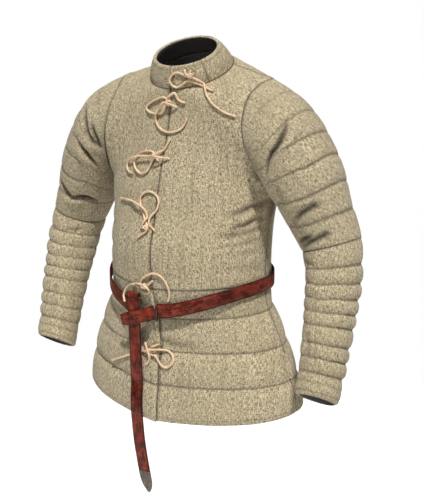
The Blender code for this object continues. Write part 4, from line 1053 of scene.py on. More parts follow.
# where the upper sleeve's six sewn lines lie, from the inside of the arm round to the outside
upperTurns = (0.0, 0.10, 0.15, 0.20, 0.25, 0.30, 0.35, 0.40, 0.45, 0.50)
upperLineRows = (
    (0.012, 0.014, 0.018, 0.028, 0.055, 0.080, 0.100, 0.118, 0.135, 0.145),
    (0.024, 0.030, 0.040, 0.075, 0.150, 0.220, 0.270, 0.295, 0.310, 0.315),
    (0.040, 0.055, 0.090, 0.170, 0.280, 0.355, 0.410, 0.440, 0.455, 0.460),
    (0.090, 0.130, 0.220, 0.390, 0.475, 0.530, 0.570, 0.583, 0.587, 0.588),
    (0.450, 0.480, 0.540, 0.635, 0.680, 0.710, 0.722, 0.727, 0.730, 0.730),
    (0.760, 0.780, 0.800, 0.835, 0.848, 0.857, 0.861, 0.864, 0.865, 0.865),
)
sleeve = {
    "upperLines": tuple(i / 7 for i in range(1, 7)),
    "lowerLines": (0.162, 0.260, 0.338, 0.415, 0.495, 0.612, 0.709, 0.813),
    "upperDip": 0.0030,
    "lowerDip": 0.0056,
    "faint": (1.0, 0.35, 0.6, 0.9, 1.0, 1.0, 1.0, 1.0),     # how strongly each upper line shows
    "cuffRows": (0.009, 0.0265),
    "pucker": 0.0009,
    "slack": 0.0022,
    "turns": 264,
    "upperRows": 153,
    "lowerRows": 153,
}
sleeveCreases = {
    "upper_left": [
        (((0.234, -0.054, -0.098), (0.236, -0.066, -0.114), (0.235, -0.075, -0.128), (0.229, -0.081, -0.141),
          (0.220, -0.085, -0.153), (0.214, -0.087, -0.170), (0.209, -0.084, -0.190)), 0.0044, -0.0110),
        (((0.245, -0.050, -0.108), (0.247, -0.064, -0.124), (0.242, -0.074, -0.140), (0.232, -0.080, -0.158),
          (0.226, -0.083, -0.176)), 0.0085, 0.0055),
        (((0.222, -0.070, -0.098), (0.222, -0.078, -0.116), (0.214, -0.083, -0.134),
          (0.206, -0.086, -0.150)), 0.0080, 0.0028),
        (((0.300, -0.056, -0.240), (0.293, -0.059, -0.243), (0.271, -0.065, -0.257),
          (0.254, -0.060, -0.277)), 0.0072, -0.0075),
        (((0.290, -0.058, -0.258), (0.270, -0.062, -0.272), (0.258, -0.058, -0.290)), 0.0075, 0.0022),
        (((0.318, -0.046, -0.290), (0.310, -0.051, -0.296), (0.283, -0.055, -0.310),
          (0.267, -0.045, -0.322)), 0.0062, -0.0075),
        (((0.286, -0.053, -0.298), (0.270, -0.050, -0.306), (0.258, -0.040, -0.314)), 0.0050, -0.0085),
        (((0.153, -0.053, -0.061), (0.170, -0.055, -0.066), (0.188, -0.055, -0.071)), 0.0030, -0.0016),
        (((0.222, -0.072, -0.205), (0.232, -0.070, -0.225), (0.238, -0.062, -0.244)), 0.0070, -0.0034),
        (((0.250, 0.060, -0.120), (0.262, 0.062, -0.150), (0.262, 0.058, -0.180)), 0.0080, -0.0034),
        (((0.270, 0.050, -0.230), (0.262, 0.055, -0.260), (0.270, 0.048, -0.290)), 0.0080, -0.0036),
        (((0.215, 0.060, -0.150), (0.220, 0.070, -0.185), (0.228, 0.066, -0.220)), 0.0080, -0.0038),
        (((0.290, -0.030, -0.130), (0.300, -0.010, -0.150), (0.300, 0.015, -0.165)), 0.0100, -0.0016),
    ],
    "upper_right": [
        (((-0.212, -0.074, -0.096), (-0.205, -0.081, -0.116), (-0.196, -0.086, -0.143), (-0.184, -0.083, -0.158),
          (-0.173, -0.077, -0.166)), 0.0052, -0.0090),
        (((-0.188, -0.082, -0.124), (-0.184, -0.085, -0.138), (-0.177, -0.082, -0.154),
          (-0.174, -0.076, -0.172)), 0.0045, -0.0095),
        (((-0.196, -0.083, -0.128), (-0.188, -0.085, -0.146), (-0.180, -0.082, -0.160)), 0.0060, 0.0030),
        (((-0.222, -0.086, -0.160), (-0.215, -0.086, -0.168), (-0.204, -0.085, -0.183), (-0.196, -0.076, -0.195),
          (-0.191, -0.064, -0.208)), 0.0048, -0.0095),
        (((-0.230, -0.084, -0.174), (-0.216, -0.084, -0.190), (-0.204, -0.078, -0.204)), 0.0075, 0.0034),
        (((-0.300, -0.048, -0.250), (-0.291, -0.058, -0.261), (-0.279, -0.060, -0.272),
          (-0.268, -0.059, -0.281)), 0.0060, -0.0085),
        (((-0.271, -0.058, -0.281), (-0.247, -0.057, -0.278), (-0.234, -0.047, -0.280),
          (-0.222, -0.030, -0.288)), 0.0055, -0.0090),
        (((-0.290, -0.052, -0.284), (-0.270, -0.056, -0.294), (-0.246, -0.052, -0.292)), 0.0085, 0.0030),
        (((-0.255, -0.066, -0.118), (-0.262, -0.066, -0.150), (-0.266, -0.066, -0.180)), 0.0100, -0.0018),
        (((-0.250, 0.060, -0.120), (-0.262, 0.062, -0.150), (-0.258, 0.060, -0.185)), 0.0080, -0.0034),
        (((-0.215, 0.062, -0.160), (-0.222, 0.070, -0.195), (-0.236, 0.064, -0.225)), 0.0080, -0.0038),
        (((-0.280, 0.040, -0.240), (-0.268, 0.052, -0.265), (-0.272, 0.046, -0.295)), 0.0080, -0.0034),
    ],
    "lower_left": [
        (((0.262, -0.035, -0.345), (0.270, -0.046, -0.350), (0.290, -0.054, -0.352)), 0.0060, -0.0036),
        (((0.300, -0.058, -0.430), (0.320, -0.068, -0.424), (0.336, -0.068, -0.428)), 0.0070, -0.0018),
        (((0.290, -0.072, -0.470), (0.300, -0.080, -0.490), (0.304, -0.086, -0.512)), 0.0070, -0.0026),
    ],
    "lower_right": [
        (((-0.262, -0.030, -0.350), (-0.275, -0.046, -0.356), (-0.292, -0.050, -0.352)), 0.0060, -0.0036),
        (((-0.290, -0.066, -0.450), (-0.300, -0.078, -0.478), (-0.312, -0.084, -0.500)), 0.0080, -0.0026),
        (((-0.340, -0.050, -0.420), (-0.348, -0.040, -0.450), (-0.350, -0.040, -0.480)), 0.0090, -0.0018),
    ],
}


def upperPlaces(turns, ws):
    # share down the upper sleeve, stretched so that the sewn lines fall at even sevenths
    folded = np.minimum(turns, 1.0 - turns)
    lines = [np.zeros_like(turns)] + [np.interp(folded, upperTurns, row) for row in upperLineRows]
    lines = np.stack(lines + [np.ones_like(turns)])
    places, room = np.zeros((len(ws), len(turns))), np.zeros((len(ws), len(turns)))
    for k in range(7):
        span = lines[k + 1] - lines[k]
        share = (ws[:, None] - lines[k]) / span
        inside = (share >= 0.0) & (share <= 1.0)
        places = np.where(inside, (k + share) / 7, places)
        room = np.where(inside, span, room)
    return places, np.clip(room / 0.10, 0.0, 1.0)


def sleevePiece(which, label, mirror, seed):
    turns = np.arange(sleeve["turns"]) / sleeve["turns"]
    upper = which == "upper"
    ws = np.linspace(0.0, 1.0, sleeve[which + "Rows"])
    grid = upperSleeveGrid(turns, ws) if upper else lowerSleeveGrid(turns, ws)
    middle = grid.mean(axis=1, keepdims=True)
    normals = normalsOf(grid, middle, True)
    uWide, vWide = lengthsOf(grid, True)
    u, v = uWide[:, :-1], vWide[:, :-1]
    outside = (0.5 - 0.5 * np.cos(math.tau * turns))[None]
    ringX, ringY = np.cos(math.tau * turns)[None], np.sin(math.tau * turns)[None]
    wobble = 0.016 * rough(1.3 * ringX + 9.0, 1.3 * ringY + ws[:, None] * 3.0, seed + 9) * np.sin(math.pi * ws[:, None])
    room = np.ones_like(v)
    places, flat = ws[:, None] + wobble, 2.6
    if upper:
        places, room = upperPlaces(turns, ws)
        places, flat = np.clip(places + wobble, 0.0, 1.0), 4.5
        faint = np.array(sleeve["faint"])[np.clip(np.rint(places * 7).astype(int), 0, 7)]
        room = room * faint
    height, valley = quilting(places, u, v, sleeve[which + "Lines"], 1.0, seed, flat, 0.0)
    height = height * room * sleeve[which + "Dip"] * (0.35 + 0.65 * outside)
    puckers, _ = quilting(places, u, v, sleeve[which + "Lines"], 0.0, seed + 2, pucker=sleeve["pucker"])
    height = height + puckers * room
    valley = valley * room
    height = height + sleeve["slack"] * rough(2.2 * ringX + 9.0, 2.2 * ringY + v / 0.05, seed) * np.sin(math.pi * ws[:, None]) ** 0.5
    fromTop, fromEnd = v, v[-1:] - v
    sewn = np.minimum(fromTop, fromEnd) if upper else fromTop
    height = height * ease(sewn, 0.008) - 0.0012 * np.exp(-(sewn / 0.0030) ** 2)
    under = (0.5 + 0.5 * np.cos(math.tau * turns))[None]
    valley = np.maximum(valley * (0.5 + 0.5 * outside), 0.55 * np.exp(-(sewn / 0.0020) ** 2))
    if upper:
        # the armscye seam is darkest under the arm, partly a dark seam and partly painted shade; the wider band below
        # it is painted shade where the arm lies on the body
        valley = np.maximum(valley, under ** 0.6 * np.exp(-(fromTop / 0.0055) ** 2))
        valley = np.maximum(valley, 0.7 * under ** 3 * np.exp(-(fromTop / 0.040) ** 2))
    if not upper:
        height = height + rolledEdge(fromEnd, 0.0042)
        for place in sleeve["cuffRows"]:
            band = np.exp(-((fromEnd - place) / 0.0017) ** 2)
            height = height - 0.0010 * band
            valley = np.maximum(valley, 0.4 * band)
    flipX = np.array([-1.0 if mirror else 1.0, 1.0, 1.0])
    # the creases' painted shade joins the valley mark, a little stronger on the sleeves
    folds, foldShade = creaseHeight(grid * flipX, sleeveCreases[which + "_" + label])
    height, valley = height + folds, np.maximum(valley, foldShade * 1.2)
    outer = grid + normals * height[..., None]
    thin = 0.35 + 0.65 * (ease(sewn, 0.014) if upper else np.minimum(ease(sewn, 0.014), ease(fromEnd, 0.01) * 0.4 + 0.6))
    inner = innerOf(grid, normals, (jacket["wall"] * thin + sunk(folds, 4))[..., None], 4, True)
    gap = jacket["seamGap"] / 2
    outer = drawIn(outer, gap, ("first", "last"))
    inner = drawIn(inner, gap + 0.0012, ("first", "last"))
    name = "sleeve" + which.capitalize() + "_" + label
    piece = buildWall(name, outer, inner, True, uWide, vWide, valley, "sleeve_" + which + "_" + label, mirror)
    closedPlaces = np.concatenate([places, places[:, :1]], 1)
    closedOuter = np.concatenate([outer, outer[:, :1]], 1)
    closedNormals = np.concatenate([normals, normals[:, :1]], 1)
    for line in sleeve[which + "Lines"]:
        stitchAlong(*rowNearest(closedPlaces, line, closedOuter, closedNormals, 1), mirror)
    if not upper:
        for place in sleeve["cuffRows"]:
            rows = np.argmin(np.abs(fromEnd - place), axis=0)
            columns = np.arange(len(turns))
            stitchAlong(outer[rows, columns], normals[rows, columns], mirror)


# Collar

collar = {"columns": 241, "rows": 25, "bulge": 0.0024, "seam": (-36.0,)}


def collarPiece():
    degrees = np.linspace(-90.0, 270.0, collar["columns"])
    ws = np.linspace(0.0, 1.0, collar["rows"])
    grid = collarGrid(degrees, ws)
    middle = np.stack([np.zeros_like(grid[..., 0]), np.full_like(grid[..., 0], neck["centreY"]), grid[..., 2]], -1)
    normals = normalsOf(grid, middle)
    u, v = lengthsOf(grid)
    fromFoot, fromRim = v, v[-1:] - v
    fromEnds = np.minimum(u, u[:, -1:] - u)
    height = collar["bulge"] * np.sin(math.pi * ws)[:, None] + 0.0012 * rough(u / 0.03, v / 0.02, 91)
    height = height * ease(fromFoot, 0.01) + rolledEdge(fromRim, 0.0036) + rolledEdge(fromEnds, 0.0028)
    valley = 0.8 * np.exp(-(fromFoot / 0.0020) ** 2)
    edge = np.minimum(fromRim, fromEnds)
    band = np.exp(-((edge - 0.0075) / 0.0014) ** 2)
    height = height - 0.0007 * band
    valley = np.maximum(valley, 0.35 * band)
    for place in collar["seam"]:
        column = np.argmin(np.abs(degrees - place))
        distance = np.abs(u - u[:, column:column + 1])
        height = height - 0.0011 * np.exp(-(distance / 0.0022) ** 2)
        valley = np.maximum(valley, 0.8 * np.exp(-(distance / 0.0016) ** 2))
    outer = grid + normals * height[..., None]
    thin = 0.45 + 0.55 * np.minimum(ease(fromFoot, 0.010), ease(edge, 0.008) * 0.4 + 0.6)
    inner = innerOf(grid, normals, (neck["wall"] * thin)[..., None], 2, False)
    for part in (outer, inner):
        part[:, 0, 0] += jacket["openingGap"]
        part[:, -1, 0] -= jacket["openingGap"]
        part[0, :, 2] += jacket["seamGap"]
    inner[0, :, 2] += 0.003
    piece = buildWall("standingCollar", outer, inner, False, u, v, valley, "collar")
    row = int(np.argmin(np.abs(fromRim[:, 0] - 0.0075)))
    stitchAlong(outer[row, 4:-4], normals[row, 4:-4])


frontPieces()
print("fronts made")
backPiece()
print("back made")
skirtPieces()
print("skirt made")
for seed, (label, mirror) in enumerate((("left", False), ("right", True))):
    sleevePiece("upper", label, mirror, 101 + 30 * seed)
    sleevePiece("lower", label, mirror, 113 + 30 * seed)
print("sleeves made")
collarPiece()
sewRows()
print("collar made")

# Straps, laid over the finished cloth

strapEdge = ((-0.93, 0.02, 1), (0.93, 0.02, 1), (0.99, 0.22, 1), (1.0, 0.55, 1), (0.97, 0.88, 1), (0.92, 1.0, 1),
             (0.87, 0.98, 1), (0.845, 0.86, 1), (0.82, 0.98, 0.35), (0.74, 1.03, 0), (0.4, 1.06, 0), (0.0, 1.07, 0),
             (-0.4, 1.06, 0), (-0.74, 1.03, 0), (-0.82, 0.98, 0.35), (-0.845, 0.86, 1), (-0.87, 0.98, 1),
             (-0.92, 1.0, 1), (-0.97, 0.88, 1), (-1.0, 0.55, 1), (-0.99, 0.22, 1))
belt = {
    "width": 0.028, "thick": 0.003, "clearance": 0.0012, "steps": 168, "spread": 0.06,
    "holes": (((0.0736, -0.1363, -0.4508), (0.274, -0.962, 0.0)), ((0.1577, -0.0747, -0.4177), (0.873, -0.488, 0.0))),
    "sideZ": -0.411, "frontDrop": 0.048, "backRise": 0.012, "rightSag": 0.012,
    "axisY": -0.02, "frontReach": 0.150, "startX": 0.0130, "endX": 0.058,
    "layerGap": 0.0004, "foldRadius": 0.0032, "foldLeg": 0.010,
    "tailSteps": 96, "tailClearance": 0.0014, "tailFall": 0.00008, "tailEnd": -0.790, "tipEnd": -0.832,
    "tipThick": 0.0046, "bandSteps": 36, "bandSlack": 0.0022,
    "ringX": 0.008, "ringWire": 0.0022, "ringRoom": 0.0014,
}
tailLine = ((-0.428, -0.0420), (-0.480, -0.0400), (-0.560, -0.0390), (-0.650, -0.0370), (-0.720, -0.0320),
            (-0.790, -0.0200), (-0.832, -0.0090))
bandLine = ((0.0034, -0.4640), (-0.0150, -0.4690), (-0.0350, -0.4755), (-0.0520, -0.4820), (-0.0645, -0.4865))
tipWidths = ((0.0, 0.0275), (0.2, 0.0274), (0.45, 0.0265), (0.62, 0.0232), (0.75, 0.0190), (0.9, 0.0108), (1.0, 0.0050))
frontCloth = ("bodyFront_left", "bodyFront_right", "skirtFront_left", "skirtFront_right")
backCloth = ("bodyBack", "skirtBack")


def treeOf(names):
    joined = bmesh.new()
    for name in names:
        joined.from_mesh(bpy.data.objects[name].data)
    tree = BVHTree.FromBMesh(joined)
    joined.free()
    return tree


def addPiece(name, vertices, faces, material, replaced=None):
    mesh = bpy.data.meshes.new(name)
    mesh.from_pydata([tuple(p) for p in vertices], [], faces)
    mesh.materials.append(material)
    mesh.polygons.foreach_set("use_smooth", np.ones(len(faces), bool))
    tidy = bmesh.new()
    tidy.from_mesh(mesh)
    bmesh.ops.recalc_face_normals(tidy, faces=tidy.faces)
    tidy.to_mesh(mesh)
    tidy.free()
    piece = bpy.data.objects.new(name, mesh)
    bpy.context.scene.collection.objects.link(piece)
    if replaced:
        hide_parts(replaced)
    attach(piece, "root")
    return piece


def strap(name, stations, material, replaced):
    # stations: middle of the inner face, across, outward, width, thickness
    vertices, marks, uvs, faces = [], [], [], []
    run, last = 0.0, None
    for point, across, outward, width, thick in stations:
        across, outward = across.normalized(), outward.normalized()
        run += (point - last).length if last else 0.0
        last = point
        for a, o, rim in strapEdge:
            wear = 0.00035 * (float(unevenness(run / 0.011 + a * 3.0, a * 2.0, 5)) - 0.5)
            vertices.append(point + across * (a * width / 2 + wear * a) + outward * (o * thick + wear * 0.5))
            marks.append(float(rim))
            uvs.append((run, a * width / 2))
    count = len(strapEdge)
    for i in range(len(stations) - 1):
        for k in range(count):
            n = (k + 1) % count
            faces.append((i * count + k, i * count + n, (i + 1) * count + n, (i + 1) * count + k))
    top = (len(stations) - 1) * count
    faces += [tuple(range(count)), tuple(range(top + count - 1, top - 1, -1))]
    piece = addPiece(name, vertices, faces, material, replaced)
    mesh = piece.data
    layer = mesh.uv_layers.new(name="weave")
    which = np.zeros(len(mesh.loops), int)
    mesh.loops.foreach_get("vertex_index", which)
    layer.data.foreach_set("uv", np.array(uvs)[which].ravel())
    marked = mesh.attributes.new("rim", "FLOAT", "POINT")
    marked.data.foreach_set("value", marks)
    for face in mesh.polygons[-2:]:
        face.use_smooth = False
    return piece


def reachOfCloth(tree, direction, z):
    middle = Vector((0.0, belt["axisY"], z))
    place = tree.ray_cast(middle + direction * 0.6, -direction)[0]
    return (place - middle).length if place else 0.0


def beltStation(tree, angle):
    outward = Vector((math.sin(angle), -math.cos(angle), 0.0))
    y = -belt["frontReach"] * math.cos(angle)
    front, back = max(0.0, -y / belt["frontReach"]), max(0.0, y / belt["frontReach"])
    z = belt["sideZ"] - belt["frontDrop"] * front ** 2 + belt["backRise"] * back
    z -= belt["rightSag"] * max(0.0, -math.sin(angle)) * max(0.0, math.cos(angle)) * 2.0
    half = belt["width"] / 2
    reach = 0.0
    for turn in (-belt["spread"], -belt["spread"] / 2, 0.0, belt["spread"] / 2, belt["spread"]):
        beside = Vector((math.sin(angle + turn), -math.cos(angle + turn), 0.0))
        for height in (-half, -half / 2, 0.0, half / 2, half):
            reach = max(reach, reachOfCloth(tree, beside, z + height))
    return outward, reach + belt["clearance"], z


def frontY(tree, x, z, spread=0.0):
    foremost = 1.0
    for height in (-spread, -spread / 2, 0.0, spread / 2, spread):
        place = tree.ray_cast(Vector((x, -0.6, z + height)), Vector((0.0, 1.0, 0.0)))[0]
        if place:
            foremost = min(foremost, place.y)
    return foremost


def smoothLine(points, share):
    return along(points, share)[0]


def strapX(z):
    low, high = 0.0, 1.0
    for _ in range(24):
        middle = (low + high) / 2
        if smoothLine(tailLine, middle)[0] > z:
            low = middle
        else:
            high = middle
    return float(smoothLine(tailLine, (low + high) / 2)[1])


def makeBeltRound():
    tree = treeOf(frontCloth + backCloth)
    up = Vector((0.0, 0.0, 1.0))
    start = math.asin(belt["startX"] / belt["frontReach"])
    end = math.tau - math.asin(belt["endX"] / belt["frontReach"])
    raw = [beltStation(tree, start + (end - start) * i / belt["steps"]) for i in range(belt["steps"] + 1)]
    stations = []
    for i, (outward, reach, z) in enumerate(raw):
        near = raw[max(i - 6, 0):i + 7]
        reach = max(reach, sum(row[1] for row in near) / len(near))
        point = Vector((0.0, belt["axisY"], z)) + outward * reach
        stations.append((point, up, outward, belt["width"], belt["thick"]))
    strap("beltRound", stations, leather, "belt_round")


def makeBeltHoles():
    # punched holes: a dished dark disc of painted shade in a pressed rim, standing for the hole's dark inside
    tree = treeOf(("beltRound",))
    vertices, faces = [], []
    for place, outward in belt["holes"]:
        place, outward = Vector(place), Vector(outward).normalized()
        hit = tree.ray_cast(place + outward * 0.03, -outward)[0] or place
        aside = Vector((0.0, 0.0, 1.0)).cross(outward)
        first = len(vertices)
        for radius, lift in ((0.0, 0.00004), (0.0012, 0.00006), (0.0017, 0.00022), (0.0021, 0.00012), (0.0022, -0.0002)):
            for k in range(18 if radius else 1):
                turn = math.tau * k / 18
                vertices.append(hit + outward * lift + (aside * math.cos(turn) + Vector((0.0, 0.0, 1.0)) * math.sin(turn)) * radius)
        faces += [(first, first + 1 + k, first + 1 + (k + 1) % 18) for k in range(18)]
        for ring in range(3):
            low, high = first + 1 + ring * 18, first + 19 + ring * 18
            faces += [(low + k, high + k, high + (k + 1) % 18, low + (k + 1) % 18) for k in range(18)]
    addPiece("beltHoles", vertices, faces, holeShade, None)


def makeBeltTail():
    tree = treeOf(frontCloth + ("beltRound",))
    level, half = Vector((1.0, 0.0, 0.0)), belt["width"] / 2
    radius, thick = belt["foldRadius"], belt["thick"]
    foldZ, foldX = tailLine[0]
    sides = (-half, -half / 2, 0.0, half / 2, half)
    behind = min(frontY(tree, foldX + side, foldZ - belt["foldLeg"], belt["foldLeg"]) for side in sides)
    topY = behind - belt["layerGap"] - 2.0 * radius
    axisY = topY + radius - thick
    stations = [(Vector((foldX, axisY + radius, foldZ - belt["foldLeg"])), level, Vector((0.0, 1.0, 0.0)), 0.028, thick)]
    for i in range(13):
        angle = math.radians(5.0 + 170.0 * i / 12)
        out = Vector((0.0, math.cos(angle), math.sin(angle)))
        inner = Vector((foldX, axisY, foldZ - radius)) + out * (radius - thick + belt["layerGap"])
        stations.append((inner, level, out, belt["width"], thick))
    startZ = foldZ - 2.5 * radius
    lean = topY
    for i in range(belt["tailSteps"] + 1):
        z = startZ + (belt["tailEnd"] - startZ) * i / belt["tailSteps"]
        x = strapX(z)
        cloth = min(frontY(tree, x + side, z, 0.006) for side in sides)
        hang = cloth - belt["tailClearance"] if cloth < 0.5 else lean
        lean = min(hang, lean + belt["tailFall"])
        stations.append((Vector((x, lean, z)), level, Vector((0.0, -1.0, 0.0)), belt["width"], thick))
    strap("beltTail", stations, leather, "belt_tail")
    tip = []
    for share in np.linspace(0.0, 1.0, 15):
        z = belt["tailEnd"] - 0.0003 + (belt["tipEnd"] - belt["tailEnd"]) * share
        width = float(np.interp(share, [row[0] for row in tipWidths], [row[1] for row in tipWidths]))
        point = Vector((strapX(z), lean + (belt["tipThick"] - thick) / 2, z))
        tip.append((point, level, Vector((0.0, -1.0, 0.0)), width, belt["tipThick"]))
    strap("beltTip", tip, strapEnd, "belt_tip")


def makeBeltBand():
    tree = treeOf(frontCloth + ("beltRound", "beltTail"))
    steps = belt["bandSteps"]
    front = []
    for i in range(steps + 1):
        x, z = smoothLine(bandLine, i / steps)
        y = min(frontY(tree, x + side, z, belt["width"] / 2) for side in (-0.006, -0.003, 0.0, 0.003, 0.006))
        front.append((float(x), y - belt["layerGap"], float(z)))
    furthest = min(row[1] for row in front) + belt["bandSlack"]
    stations = []
    for i, (x, y, z) in enumerate(front):
        towards = smoothLine(bandLine, min(1.0, (i + 0.6) / steps))
        away = smoothLine(bandLine, max(0.0, (i - 0.6) / steps))
        run = Vector((float(towards[0] - away[0]), 0.0, float(towards[1] - away[1]))).normalized()
        y = min(y, furthest) if i > 5 else y
        wide = belt["width"] - 0.0045 * max(0.0, 2.0 * i / steps - 1.0) ** 1.5
        stations.append((Vector((x, y, z)), Vector((run.z, 0.0, -run.x)), Vector((0.0, -1.0, 0.0)), wide, belt["thick"]))
    centre = Vector((x - 0.0035, y + 0.0014, z - 0.0005))
    slant = Vector((run.z, 0.0, -run.x))
    for i in range(1, 13):
        angle = math.radians(-90.0 - 160.0 * i / 12)
        out = Vector((math.cos(angle), math.sin(angle), 0.0))
        across = (slant * (12 - i) + Vector((0.0, 0.0, -1.0 if slant.z < 0 else 1.0)) * i) / 12
        stations.append((centre + out * 0.0014, across, out, wide - 0.0035 * math.sin(math.pi * i / 24), belt["thick"]))
    strap("beltBand", stations, leather, "belt_band")


def tubeMesh(points, radius, sides=12, closed=False, flat=1.0):
    # a tube along points, its section kept level by carrying one direction along
    points = [Vector(p) for p in points]
    count = len(points)
    vertices, faces = [], []
    side = Vector((0.3, 0.2, 1.0))
    for i, point in enumerate(points):
        ahead = points[(i + 1) % count] if closed or i < count - 1 else point
        behind = points[i - 1] if closed or i > 0 else point
        run = (ahead - behind).normalized()
        side = (side - run * side.dot(run)).normalized()
        up = run.cross(side)
        for k in range(sides):
            angle = math.tau * k / sides
            vertices.append(point + side * math.cos(angle) * radius + up * math.sin(angle) * radius * flat)
    for i in range(count if closed else count - 1):
        for k in range(sides):
            n, j = (k + 1) % sides, (i + 1) % count
            faces.append((i * sides + k, i * sides + n, j * sides + n, j * sides + k))
    if not closed:
        faces += [tuple(range(sides)), tuple(range(count * sides - 1, (count - 1) * sides - 1, -1))]
    return vertices, faces


def makeBeltRing():
    belts, cloth = treeOf(("beltRound", "beltBand")), treeOf(frontCloth)
    z, x = bandLine[0][1], belt["ringX"]
    front = min(frontY(belts, x + side, z, 0.010) for side in (-0.0035, 0.0035)) - belt["ringWire"] / 4
    back = frontY(cloth, x, z, 0.016) - belt["layerGap"] - belt["ringWire"] / 2
    half = belt["width"] / 2 + belt["ringRoom"]
    points = []
    for i in range(48):
        angle = math.tau * i / 48
        c, s = math.cos(angle), math.sin(angle)
        y = (front + back) / 2 + (front - back) / 2 * math.copysign(abs(c) ** 0.6, c)
        points.append((x, y, z + half * math.copysign(abs(s) ** 0.8, s)))
    vertices, faces = tubeMesh(points, belt["ringWire"] / 2, 12, True)
    addPiece("beltRing", vertices, faces, ringIron, "belt_ring")


makeBeltRound()
makeBeltHoles()
makeBeltTail()
makeBeltBand()
makeBeltRing()
print("belt made")

# Laces: each from its eyelet to its free end; across and up the front, and how far off the cloth

